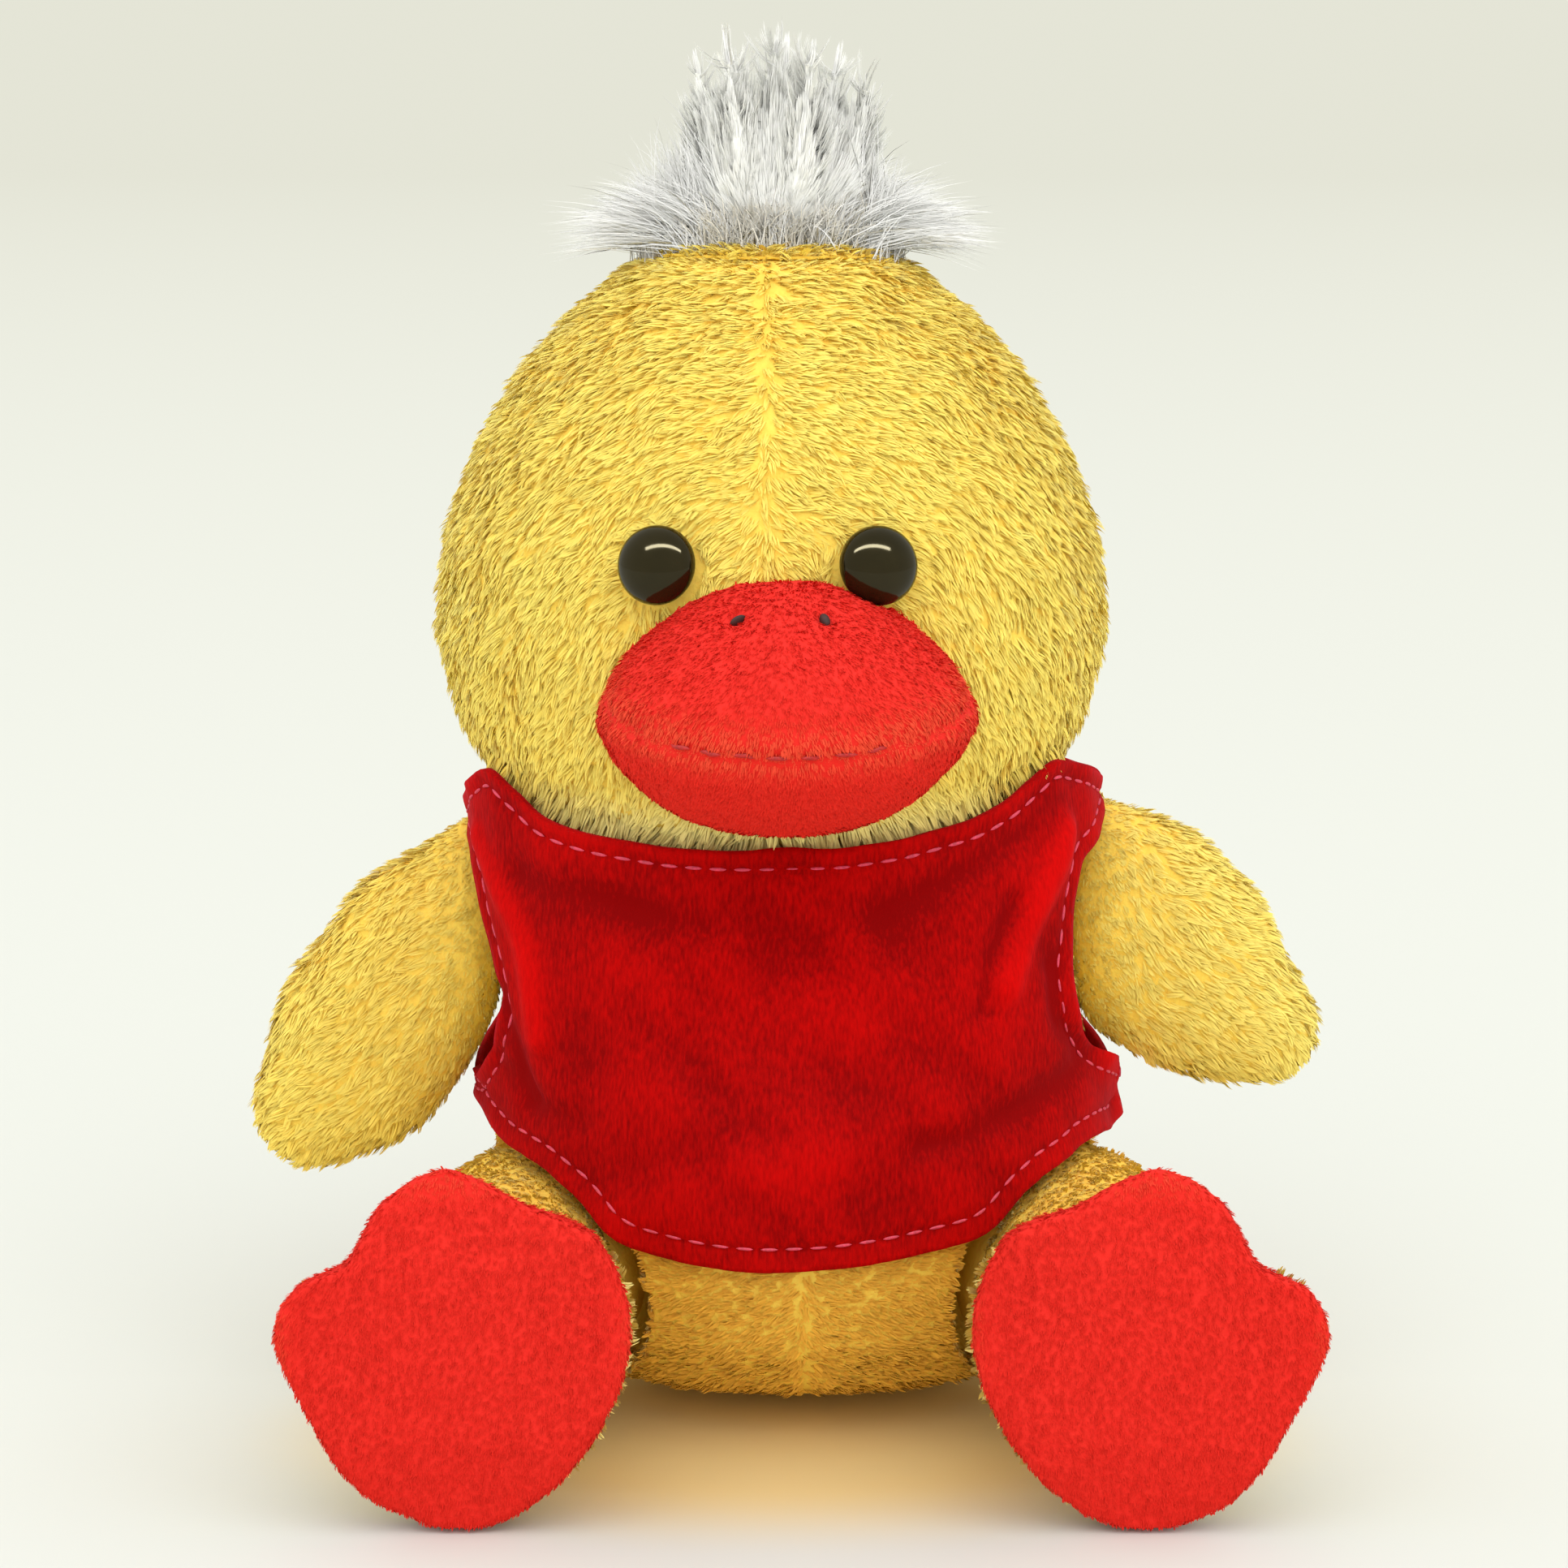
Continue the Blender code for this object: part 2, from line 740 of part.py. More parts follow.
def build_wings():
    """Front and back panels round stuffing, on a pivot along the shoulder seam."""
    for side in SIDES:
        pivot = add_pivot(f"wing_{side}_pivot", wing_place(side))
        inner = add_cutter(f"wing_{side}_inside", wing_form(side, -cover_thickness), pivot)
        halves = {
            "front": block("front", (-far, -far, -far), (far, -seam_half, far)),
            "back": block("back", (-far, seam_half, -far), (far, far, far)),
        }
        for name, half_mesh in halves.items():
            half = add_cutter(f"wing_{side}_{name}_half", half_mesh, pivot)
            panel = add_part(f"wing_{side}_{name}", wing_form(side), yellow_plush, pivot)
            keep(panel, half)
            cut(panel, inner)
        fill_form = wing_form(side, -cover_thickness - sewn_gap)
        add_part(f"wing_{side}_stuffing", fill_form, fibre, pivot)


def leg_turn(sign):
    """The turn that lays a leg's own Z axis forward and a little outward."""
    return Matrix.Rotation(sign * toe_out, 4, "Z") @ Matrix.Rotation(math.pi / 2, 4, "X")


def build_legs():
    """A leg cover with its stuffing, and a foot of upper, sole and stuffing, on each hip."""
    for side, sign in SIDES.items():
        pivot = hip_pivots[side]
        lay = leg_turn(sign)
        place = (sign * foot_aside, hip_forward - foot_front, foot_centre - hip_height)
        stand = Matrix.Translation(place)
        under = block("floor", (-far, -far, -far), (far, far, -hip_height))
        floor = add_cutter(f"foot_{side}_floor", under, pivot)
        upper_front = sole_thickness + sewn_gap
        seat_mesh = foot_form("seat", sign, sewn_gap, 0.0, foot_thickness + sewn_gap, foot_edge)
        foot_seat = add_cutter(f"foot_{side}_seat", seat_mesh, pivot, stand)

        shell = leg_profile(0.0) + leg_profile(-cover_thickness)[::-1]
        leg = add_part(f"leg_{side}", turned("leg", shell), yellow_plush, pivot, lay)
        cut(leg, foot_seat)
        core = leg_profile(-cover_thickness - sewn_gap)
        core_mesh = turned("leg_core", [(0.0, leg_length)] + core)
        leg_stuffing = add_part(f"leg_{side}_stuffing", core_mesh, fibre, pivot, lay)
        cut(leg_stuffing, foot_seat)

        upper_mesh = foot_form("upper", sign, 0.0, upper_front, foot_thickness, foot_edge)
        upper = add_part(f"foot_{side}_upper", upper_mesh, yellow_plush, pivot, stand)
        hollow_back = foot_thickness - cover_thickness
        hollow = foot_form("hollow", sign, -cover_thickness, -overrun, hollow_back, 0.0)
        cut(upper, add_cutter(f"foot_{side}_hollow", hollow, pivot, stand), floor)
        sole_mesh = foot_form("sole", sign, 0.0, 0.0, sole_thickness, sole_edge)
        sole = add_part(f"foot_{side}_sole", sole_mesh, red_plush, pivot, stand)
        cut(sole, floor)
        inset = -cover_thickness - sewn_gap
        fill_mesh = foot_form("fill", sign, inset, upper_front, hollow_back - sewn_gap, 0.0)
        add_part(f"foot_{side}_stuffing", fill_mesh, fibre, pivot, stand)


def build_vest():
    """A front and a back panel with armholes, a neckline and a hem that rises over the legs."""
    inner = add_cutter("vest_inside", body_form(sewn_gap))
    neckline = add_cutter("vest_neckline", head_form(turn_gap + sewn_gap))
    armholes = []
    for side, sign in SIDES.items():
        slot = turned("armhole", [(0.0, far), (1.0, far), (1.0, 0.0), (0.0, 0.0)])
        scale = Matrix.Diagonal((wing_seam / 2 + armhole_margin, armhole_depth / 2, 1.0, 1.0))
        slot.transform(Matrix.Rotation(sign * math.pi / 2, 4, "Y") @ scale)
        centre = Matrix.Translation((0.0, 0.0, wing_seam_height - armhole_drop))
        armholes.append(add_cutter(f"armhole_{side}", slot, None, centre))
    halves = {
        "front": block("front_half", (-far, -far, 0.0), (far, -seam_half, far)),
        "back": block("back_half", (-far, seam_half, 0.0), (far, far, far)),
    }
    hem_slopes = {
        "front": math.atan2(vest_hem_side - vest_hem_front, body_front),
        "back": math.atan2(vest_hem_back - vest_hem_side, body_back),
    }
    side_hem = Matrix.Translation((0.0, 0.0, vest_hem_side))
    for name in halves:
        half = add_cutter(f"vest_{name}_half", halves[name])
        slope = side_hem @ Matrix.Rotation(hem_slopes[name], 4, "X")
        below = block("below", (-far, -far, -far), (far, far, 0.0))
        hem_cutter = add_cutter(f"vest_{name}_hem", below, None, slope)
        panel = add_part(f"vest_{name}", body_form(sewn_gap + vest_thickness), vest_cloth)
        keep(panel, half)
        cut(panel, inner, hem_cutter, neckline, *armholes, *hip_cutters.values())


far = 3 * head_width
seam_half = sewn_gap / 2
eye_height = bill_top + eye_rise
wing_seam_height = body_top - wing_drop - wing_seam / 2
hip_out = body_width / 2 - hip_inset
head_middle = (head_low + head_top) / 2
foot_centre = foot_length / 2 - floor_cut
leg_length = foot_front - hip_forward - foot_thickness + foot_edge

clear_scene()
parts = new_collection("plush_duck")
cutters = new_collection("cutters")
yellow_plush = make_material("yellow_plush", YELLOW, 0.9)
red_plush = make_material("red_plush", RED, 0.9)
vest_cloth = make_material("vest_cloth", VEST_RED, 0.85)
white_fur = make_material("white_fur", WHITE, 0.85)
fibre = make_material("stuffing", FIBRE, 1.0)
black_plastic = make_material("black_plastic", BLACK, 0.12)
washer_plastic = make_material("washer_plastic", CLEAR_GREY, 0.4)

wing_shapes = {
    "left": (wing_length_left, wing_droop_left),
    "right": (wing_length_right, wing_droop_right),
}
wing_insets = {"left": wing_inset_left, "right": wing_inset_right}
head_tree = tree_of(head_form())
body_tree = tree_of(body_form())
neck_cutter = add_cutter("neck", head_form(turn_gap))
hip_pivots = {}
hip_cutters = {}
for side, sign in SIDES.items():
    hip = Matrix.Translation((seat_shift + sign * hip_out, -hip_forward, hip_height))
    hip_pivots[side] = add_pivot(f"hip_{side}_pivot", hip)
    hip_cutters[side] = add_cutter(f"hip_{side}", leg_form(turn_gap), hip_pivots[side], leg_turn(sign))
eye_holes = {side: [] for side in SIDES}
eye_pockets = []
eye_rooms = []
build_eye_cutters()
build_head()
build_eyes()
build_bill()
build_hair()
build_body()
build_tail()
build_wings()
build_legs()
build_vest()
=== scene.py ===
"""Sitting plush duck: stuffed skins, combed pile, fur tuft, eyes, bill, vest and a plain stage.

Metres, +Z up. The duck faces -Y and its own left is +X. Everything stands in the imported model's frame.
"""

import math

import bmesh
import bpy
import numpy as np
from mathutils import Matrix, Vector, geometry
from mathutils.bvhtree import BVHTree


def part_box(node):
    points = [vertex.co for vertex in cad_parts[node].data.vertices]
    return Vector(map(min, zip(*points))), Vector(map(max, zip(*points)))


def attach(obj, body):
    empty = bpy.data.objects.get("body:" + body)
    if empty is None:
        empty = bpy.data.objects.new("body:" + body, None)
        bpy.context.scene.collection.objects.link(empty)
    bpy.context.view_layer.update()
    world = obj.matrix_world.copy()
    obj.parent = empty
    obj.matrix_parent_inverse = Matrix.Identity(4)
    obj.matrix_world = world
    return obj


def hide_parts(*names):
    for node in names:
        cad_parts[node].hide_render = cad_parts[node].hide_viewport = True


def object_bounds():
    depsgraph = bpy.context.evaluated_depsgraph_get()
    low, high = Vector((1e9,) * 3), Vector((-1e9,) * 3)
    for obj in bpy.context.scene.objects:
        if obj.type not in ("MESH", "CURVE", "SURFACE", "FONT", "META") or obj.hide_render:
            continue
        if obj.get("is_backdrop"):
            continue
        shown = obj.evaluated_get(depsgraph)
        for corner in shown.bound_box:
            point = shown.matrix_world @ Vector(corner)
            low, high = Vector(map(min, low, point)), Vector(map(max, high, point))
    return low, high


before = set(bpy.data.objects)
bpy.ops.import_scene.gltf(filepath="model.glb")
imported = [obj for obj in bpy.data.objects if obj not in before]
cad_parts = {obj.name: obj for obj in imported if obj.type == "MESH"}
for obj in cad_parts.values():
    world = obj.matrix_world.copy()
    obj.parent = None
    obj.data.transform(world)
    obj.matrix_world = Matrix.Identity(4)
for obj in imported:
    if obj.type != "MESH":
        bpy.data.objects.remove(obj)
cad_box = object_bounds()

bl_info = {
    "name": "Sitting plush duck",
    "version": (1, 0, 0),
    "blender": (4, 5, 0),
    "location": "3D View > Sidebar > Plush duck",
    "description": "Plush skins, combed pile, tuft, eyes, bill, vest and stage for a sitting duck",
    "category": "Object",
}

MM = 0.001
SIDES = {"left": 1, "right": -1}


# Kinds of setting


def length(label, about, default):
    """A distance in metres."""
    kind = {"precision": 5, "subtype": "DISTANCE", "unit": "LENGTH"}
    return bpy.props.FloatProperty(name=label, description=about, default=default, min=0.0, **kind)


def angle(label, about, default):
    """A turn, given in degrees."""
    return bpy.props.FloatProperty(
        name=label, description=about, default=math.radians(default), subtype="ANGLE", unit="ROTATION"
    )


def share(label, about, default):
    """A plain share or strength."""
    return bpy.props.FloatProperty(name=label, description=about, default=default, subtype="FACTOR")


def count(label, about, default):
    """A whole number."""
    return bpy.props.IntProperty(name=label, description=about, default=default, min=1)


def number(label, about, default):
    """A plain number."""
    return bpy.props.FloatProperty(name=label, description=about, default=default)


def colour(label, about, default):
    """A colour, in linear values."""
    return bpy.props.FloatVectorProperty(
        name=label, description=about, default=default, size=3, min=0.0, max=1.0, subtype="COLOR"
    )


class SkinSettings(bpy.types.PropertyGroup):
    """How the stuffed forms are closed and smoothed."""

    closing: length("Closing", "How far the sewn gaps are closed from each side", 0.0005)
    voxel: length("Voxel", "Facet size of a large stuffed form", 0.0012)
    fine_voxel: length("Fine voxel", "Facet size of a small stuffed form", 0.0007)
    smoothing: count("Smoothing", "Passes that even out the facets", 12)
    yellow_sink: length("Yellow sink", "How far the backing lies under the yellow pile", 0.0012)
    red_sink: length("Red sink", "How far the backing lies under the red pile", 0.0005)


class PileSettings(bpy.types.PropertyGroup):
    """The short pile of the plush."""

    yellow_length: length("Yellow length", "Length of the yellow pile", 0.0021)
    yellow_spacing: length("Yellow spacing", "Distance between tufts of yellow pile", 0.00092)
    yellow_width: length("Yellow width", "Width of a yellow strand", 0.00021)
    yellow_strands: count("Yellow strands", "Strands in a tuft of yellow pile", 7)
    yellow_lean: angle("Yellow lean", "How far the yellow pile lies over", 71)
    yellow_clump: share("Yellow clump", "How much the yellow pile bunches and wanders", 0.90)
    red_length: length("Red length", "Length of the red pile", 0.0007)
    red_spacing: length("Red spacing", "Distance between tufts of red pile", 0.00057)
    red_width: length("Red width", "Width of a red strand", 0.00013)
    red_strands: count("Red strands", "Strands in a tuft of red pile", 5)
    red_lean: angle("Red lean", "How far the red pile lies over", 71)
    red_clump: share("Red clump", "How much the red pile bunches and wanders", 0.50)
    white_length: length("White length", "Length of the white fur on the tuft", 0.0052)
    white_spacing: length("White spacing", "Distance between bunches of white fur", 0.00062)
    white_width: length("White width", "Width of a white hair", 0.00011)
    white_strands: count("White strands", "Hairs in a bunch of white fur", 9)
    white_lean: angle("White lean", "How far the white fur lies over", 60)
    white_clump: share("White clump", "How much the white fur bunches and wanders", 0.20)
    gather: share("Gather", "How far the strands of a tuft draw together", 0.44)
    swirl: angle("Swirl", "How far the pile's direction wanders", 26)
    # Roots darker than tips: painted shade deep in the pile.
    yellow_tip: colour("Yellow tip", "Colour at the ends of the yellow pile", (1.0, 0.81, 0.17))
    yellow_middle: colour("Yellow middle", "Colour of the yellow pile", (1.0, 0.73, 0.11))
    yellow_root: colour("Yellow root", "Colour deep in the yellow pile", (1.0, 0.66, 0.09))
    # Painted shade: the pile is drawn toward it on the belly, the legs and the right wing.
    yellow_deep: colour("Yellow deep", "Colour of the yellow pile low on the body", (0.92, 0.46, 0.045))
    # Painted light: the pile is drawn toward it on the chin, the foot rims and the left wing; also the
    # sheen's tint.
    yellow_glow: colour("Yellow glow", "Colour of the yellow pile at a paler edge", (1.0, 0.90, 0.36))
    red_tip: colour("Red tip", "Colour at the ends of the red pile", (0.82, 0.026, 0.015))
    red_middle: colour("Red middle", "Colour of the red pile", (0.80, 0.021, 0.012))
    red_root: colour("Red root", "Colour deep in the red pile", (0.78, 0.017, 0.010))
    # Painted shade: the soles' middles are drawn a little toward it.
    red_deep: colour("Red deep", "Colour of the red pile under the bill", (0.58, 0.013, 0.008))
    # Painted rim light: the pile is drawn toward it along the mouth seam and round the soles' edges; also the
    # sheen's tint.
    red_glow: colour("Red glow", "Colour of the red pile at a worn edge", (1.0, 0.13, 0.055))
    white_tip: colour("White tip", "Colour at the ends of the white fur", (1.0, 1.0, 0.96))
    white_middle: colour("White middle", "Colour of the white fur", (1.0, 1.0, 0.95))
    white_root: colour("White root", "Colour deep in the white fur", (1.0, 1.0, 0.96))
    white_deep: colour("White deep", "Colour of the white fur where it meets the head", (0.99, 0.85, 0.55))
    white_glow: colour("White glow", "Colour of the white fur against the light", (1.0, 1.0, 0.97))


class TuftSettings(bpy.types.PropertyGroup):
    """The tuft of long white fur."""

    side_locks: count("Side locks", "Locks that fall to each side", 90)
    rim_locks: count("Rim locks", "Short locks round the edge of the fur", 240)
    strands: count("Strands", "Strands in a lock", 30)
    start_reach: length("Start reach", "Where the side locks begin to fall, from the middle", 0.0105)
    root_radius: length("Root radius", "Half width of the fur at its roots", 0.0146)
    root_depth: length("Root depth", "Half depth of the fur at its roots", 0.0080)
    side_reach: length("Side reach", "How far the side locks reach from the middle", 0.0268)
    strand_width: length("Strand width", "Width of a fur strand", 0.00012)


class EyeSettings(bpy.types.PropertyGroup):
    """The domed plastic eyes."""

    radius: length("Radius", "Radius of the eye's rim", 0.0046)
    dome: length("Dome", "Height of the dome over its rim", 0.0030)
    rim: length("Rim", "Thickness of the rim", 0.0006)
    segments: count("Segments", "Facets round the dome", 72)
    plastic: colour("Plastic", "Colour of the eye", (0.008, 0.006, 0.002))


class BillSettings(bpy.types.PropertyGroup):
    """The padded bill."""

    mouth_height: length("Mouth height", "Height of the mouth seam where it meets the head", 0.0945)
    mouth_tilt: angle("Mouth tilt", "How far the mouth seam tilts down towards its front", 14)
    groove_depth: length("Groove depth", "Depth of the mouth seam", 0.0004)
    groove_width: length("Groove width", "Width of the mouth seam", 0.0011)
    stitch_pitch: length("Stitch pitch", "Distance between stitches of the mouth", 0.0039)
    stitch_length: length("Stitch length", "Length of a stitch of the mouth", 0.0026)
    nostril_height: length("Nostril height", "Height of the nostrils", 0.1029)
    nostril_spacing: length("Nostril spacing", "Distance between the nostrils", 0.0098)
    nostril_length: length("Nostril length", "Length of a nostril", 0.0020)
    nostril_width: length("Nostril width", "Width of a nostril", 0.0011)
    nostril_depth: length("Nostril depth", "Depth of a nostril's dimple", 0.0012)
    stitch_red: colour("Stitch red", "Colour of the mouth's thread", (0.60, 0.010, 0.008))
    # Painted shade inside the nostrils.
    nostril_brown: colour("Nostril brown", "Colour of the nostrils", (0.030, 0.006, 0.004))


class VestSettings(bpy.types.PropertyGroup):
    """The sleeveless vest."""

    thickness: length("Thickness", "Thickness of the velour", 0.0009)
    ease: length("Ease", "Room between the body's backing and the vest", 0.0020)
    head_ease: length("Head ease", "Room between the head's backing and the vest", 0.0015)
    leg_ease: length("Leg ease", "Room between the legs and the hem", 0.0012)
    flare: length("Flare", "How far the vest's left shoulder stands off", 0.0024)
    grid: length("Grid", "Facet size of the vest", 0.00070)
    stitch_pitch: length("Stitch pitch", "Distance between topstitches", 0.0029)
    stitch_length: length("Stitch length", "Length of a topstitch", 0.0020)
    thread: length("Thread", "Thickness of the topstitching thread", 0.00042)
    neck_inset: length("Neck inset", "Distance of the stitching from the neckline", 0.0021)
    arm_inset: length("Arm inset", "Distance of the stitching from the armholes", 0.0023)
    hem_inset: length("Hem inset", "Distance of the stitching from the hem", 0.0028)
    red: colour("Red", "Colour of the velour", (0.46, 0.0012, 0.0010))
    # Painted shade in the folds' valleys.
    dark: colour("Dark", "Colour of the velour in its folds", (0.24, 0.0004, 0.0007))
    # Also painted into the base colour at shallow angles, as a painted sheen.
    bloom: colour("Bloom", "Colour that the velour shows at a shallow angle", (0.80, 0.035, 0.07))
    pink: colour("Pink", "Colour of the topstitching", (0.80, 0.05, 0.11))


class StageSettings(bpy.types.PropertyGroup):
    """The camera, floor and lamps."""

    distance: length("Distance", "Distance of the camera from its target", 0.6)
    target_height: length("Target height", "Height that the camera looks at", 0.076)
    look_down: angle("Look down", "How far the camera looks down", 10)
    lens: number("Lens", "Focal length in millimetres", 111.8)
    floor_radius: length("Floor radius", "Radius of the floor", 60.0)
    # From floor_near to floor_far the paper greys with distance, a painted fall-off of light.
    floor_near: colour("Floor near", "Colour of the floor near the camera", (0.72, 0.745, 0.70))
    # Painted warm bounce light round the duck.
    floor_painted_bounce: colour("Floor warm", "Colour that the plush throws on the floor", (0.84, 0.66, 0.32))
    floor_far: colour("Floor far", "Colour of the floor far away", (0.575, 0.58, 0.51))
    backdrop: colour("Backdrop", "Colour behind the floor's far edge", (0.80, 0.79, 0.67))
    sky: share("Sky", "Strength of the light from all round", 1.10)
    sun: number("Sun", "Strength of the wide soft light from above", 1.10)
    sun_spread: angle("Sun spread", "How wide the soft light from above is", 80)
    top_lamp: number("Top lamp", "Power of the lamp overhead", 6.0)


# Meshes


def settled(name, mesh, *steps):
    """Apply modifiers, each given as its kind and its values, and return the finished mesh."""
    holder = bpy.data.objects.new(name, mesh)
    bpy.context.scene.collection.objects.link(holder)
    for kind, values in steps:
        step = holder.modifiers.new(kind, kind)
        for key, value in values.items():
            setattr(step, key, value)
    graph = bpy.context.evaluated_depsgraph_get()
    finished = bpy.data.meshes.new_from_object(holder.evaluated_get(graph))
    finished.name = name
    bpy.data.objects.remove(holder)
    return finished


def points_of(mesh):
    """The vertices of a mesh as an array."""
    flat = np.empty(len(mesh.vertices) * 3, dtype=np.float32)
    mesh.vertices.foreach_get("co", flat)
    return flat.reshape(-1, 3).astype(np.float64)


def normals_of(mesh):
    """The vertex normals of a mesh as an array."""
    flat = np.empty(len(mesh.vertices) * 3, dtype=np.float32)
    mesh.vertex_normals.foreach_get("vector", flat)
    return flat.reshape(-1, 3).astype(np.float64)


def move_points(mesh, points):
    """Give a mesh new vertex places."""
    mesh.vertices.foreach_set("co", points.astype(np.float32).ravel())
    mesh.update()


def largest_shell(mesh):
    """Keep only the part of a mesh with the most vertices, which is its outer skin."""
    work = bmesh.new()
    work.from_mesh(mesh)
    unseen = set(work.verts)
    best = set()
    while unseen:
        front = [unseen.pop()]
        shell = set(front)
        while front:
            here = front.pop()
            for edge in here.link_edges:
                other = edge.other_vert(here)
                if other in unseen:
                    unseen.discard(other)
                    shell.add(other)
                    front.append(other)
        if len(shell) > len(best):
            best = shell
    bmesh.ops.delete(work, geom=[vert for vert in work.verts if vert not in best], context="VERTS")
    work.to_mesh(mesh)
    work.free()
    return mesh


def joined_nodes(name, nodes, hull=False):
    """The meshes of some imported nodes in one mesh, or the hull round them."""
    work = bmesh.new()
    for node in nodes:
        work.from_mesh(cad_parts[node].data)
    bmesh.ops.remove_doubles(work, verts=work.verts, dist=0.01 * MM)
    if hull:
        made = bmesh.ops.convex_hull(work, input=work.verts)
        inside = {item for item in made["geom_interior"] if isinstance(item, bmesh.types.BMVert)}
        bmesh.ops.delete(work, geom=list(inside), context="VERTS")
        kept = {item for item in made["geom"] if isinstance(item, bmesh.types.BMFace)}
        bmesh.ops.delete(work, geom=[face for face in work.faces if face not in kept], context="FACES_ONLY")
        bmesh.ops.recalc_face_normals(work, faces=work.faces)
    return mesh_from(work, name, smooth=False)


def tree_of(mesh):
    """A search tree of a mesh, its box kept beside it."""
    corners = [vertex.co.copy() for vertex in mesh.vertices]
    search = BVHTree.FromPolygons(corners, [face.vertices for face in mesh.polygons])
    points = points_of(mesh)
    made_boxes[id(search)] = (points.min(axis=0), points.max(axis=0))
    return search


def mesh_from(work, name, smooth=True):
    """A new mesh made from a bmesh, which is freed."""
    mesh = bpy.data.meshes.new(name)
    work.to_mesh(mesh)
    work.free()
    if smooth:
        mesh.shade_smooth()
    return mesh


def unit(vectors):
    """Vectors with their length set to one."""
    return vectors / np.maximum(np.linalg.norm(vectors, axis=-1, keepdims=True), 1e-9)


def ease(low, high, values):
    """Rise smoothly from 0 at low to 1 at high."""
    along = np.clip((values - low) / (high - low), 0.0, 1.0)
    return along * along * (3 - 2 * along)


def add_piece(name, mesh, finish, body, slot=None, stands_for=()):
    """Put a mesh into the scene as a named piece that rides on a body."""
    piece = bpy.data.objects.new(name, mesh)
    bpy.context.scene.collection.objects.link(piece)
    mesh.materials.clear()
    mesh.materials.append(finish)
    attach(piece, body)
    if stands_for:
        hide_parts(*stands_for)
    return piece


# Stuffed forms


SHAPES = {
    "head": (("head_panel_left", "head_panel_right"), "hull"),
    "bill": (("bill_upper", "bill_lower", "bill_stuffing"), "fine"),
    "patch": (("hair_patch",), "fine"),
    "tuft": (("hair_tuft",), "fine"),
    "body": (("body_panel_left", "body_panel_right", "body_stuffing"), "plain"),
    "body_hull": (("body_panel_left", "body_panel_right"), "hull"),
    "tail": (("tail_upper", "tail_lower", "tail_stuffing"), "fine"),
    "wing_left": (("wing_left_front", "wing_left_back", "wing_left_stuffing"), "fine"),
    "wing_right": (("wing_right_front", "wing_right_back", "wing_right_stuffing"), "fine"),
    "leg_left": (("leg_left", "leg_left_stuffing"), "fine"),
    "leg_right": (("leg_right", "leg_right_stuffing"), "fine"),
    "foot_left": (("foot_left_upper", "foot_left_stuffing"), "fine"),
    "foot_right": (("foot_right_upper", "foot_right_stuffing"), "fine"),
    "sole_left": (("foot_left_sole",), "fine"),
    "sole_right": (("foot_right_sole",), "fine"),
}
RED_SHAPES = ("bill", "sole_left", "sole_right", "patch")
made_shapes = {}
made_trees = {}
made_boxes = {}
# An askew direction, so that a test ray seldom runs along an edge
PROBE = Vector((0.36, 0.48, 0.80))


def shape(name):
    """The smoothed skin of one stuffed form, sunk under its CAD surface to where the backing lies."""
    if name in made_shapes:
        return made_shapes[name]
    skin = bpy.context.scene.duck_skin
    nodes, kind = SHAPES[name]
    sink = skin.red_sink if name in RED_SHAPES else skin.yellow_sink
    rough = joined_nodes(name, nodes, kind == "hull")
    voxel = skin.fine_voxel if kind == "fine" else skin.voxel
    grow = {"strength": skin.closing, "mid_level": 0.0}
    shrink = {"strength": -(skin.closing + sink), "mid_level": 0.0}
    remesh = {"mode": "VOXEL", "voxel_size": voxel}
    smooth = {"factor": 0.5, "iterations": skin.smoothing}
    steps = (("DISPLACE", grow), ("REMESH", remesh), ("SMOOTH", smooth), ("DISPLACE", shrink))
    finished = settled(name, rough, *steps)
    largest_shell(finished)
    finished.shade_smooth()
    made_shapes[name] = finished
    return finished


def tree(name):
    """The search tree of a stuffed form."""
    if name not in made_trees:
        made_trees[name] = tree_of(shape(name))
    return made_trees[name]


def inside(search, point, margin):
    """Whether a point lies inside a closed form, or closer to it than a margin."""
    low, high = made_boxes[id(search)]
    if (point < low - margin).any() or (point > high + margin).any():
        return False
    point = Vector(point)
    if margin > 0 and search.find_nearest(point, margin)[0] is not None:
        return True
    crossings = 0
    start = point
    while crossings < 12:
        spot = search.ray_cast(start, PROBE)[0]
        if spot is None:
            break
        crossings += 1
        start = spot + PROBE * 0.001 * MM
    return crossings % 2 == 1


# Pile


# A prime that makes one number of a cell's three
CELL_KEY = 100003


def scattered(mesh, spacing, seed):
    """Places spread about evenly over a mesh, with the surface's normal at each."""
    mesh.calc_loop_triangles()
    corners = np.empty(len(mesh.loop_triangles) * 3, dtype=np.int32)
    mesh.loop_triangles.foreach_get("vertices", corners)
    corners = corners.reshape(-1, 3)
    points = points_of(mesh)
    normals = normals_of(mesh)
    first, second, third = (points[corners[:, index]] for index in range(3))
    areas = np.linalg.norm(np.cross(second - first, third - first), axis=1) / 2
    draw = np.random.default_rng(seed)
    wanted = int(areas.sum() / spacing**2 * 5)
    picked = draw.choice(len(areas), size=wanted, p=areas / areas.sum())
    mix = np.sqrt(draw.random(wanted))[:, None]
    turn = draw.random(wanted)[:, None]
    shares = np.concatenate((1 - mix, mix * (1 - turn), mix * turn), axis=1)
    chosen = corners[picked]
    spots = sum(points[chosen[:, index]] * shares[:, index : index + 1] for index in range(3))
    facing = sum(normals[chosen[:, index]] * shares[:, index : index + 1] for index in range(3))
    cells = np.floor(spots / spacing).astype(np.int64)
    keys = (cells[:, 0] * CELL_KEY + cells[:, 1]) * CELL_KEY + cells[:, 2]
    _, kept = np.unique(keys, return_index=True)
    kept.sort()
    return spots[kept], unit(facing[kept])


def wander(points, size, seed):
    """A smooth value between about -1 and 1 that changes over a distance."""
    draw = np.random.default_rng(seed)
    value = np.zeros(len(points))
    for _ in range(5):
        along = points @ unit(draw.normal(size=3)) * (2 * math.pi / size)
        value += np.sin(along * draw.uniform(0.6, 1.5) + draw.uniform(0, 6.28))
    return value / 2.6


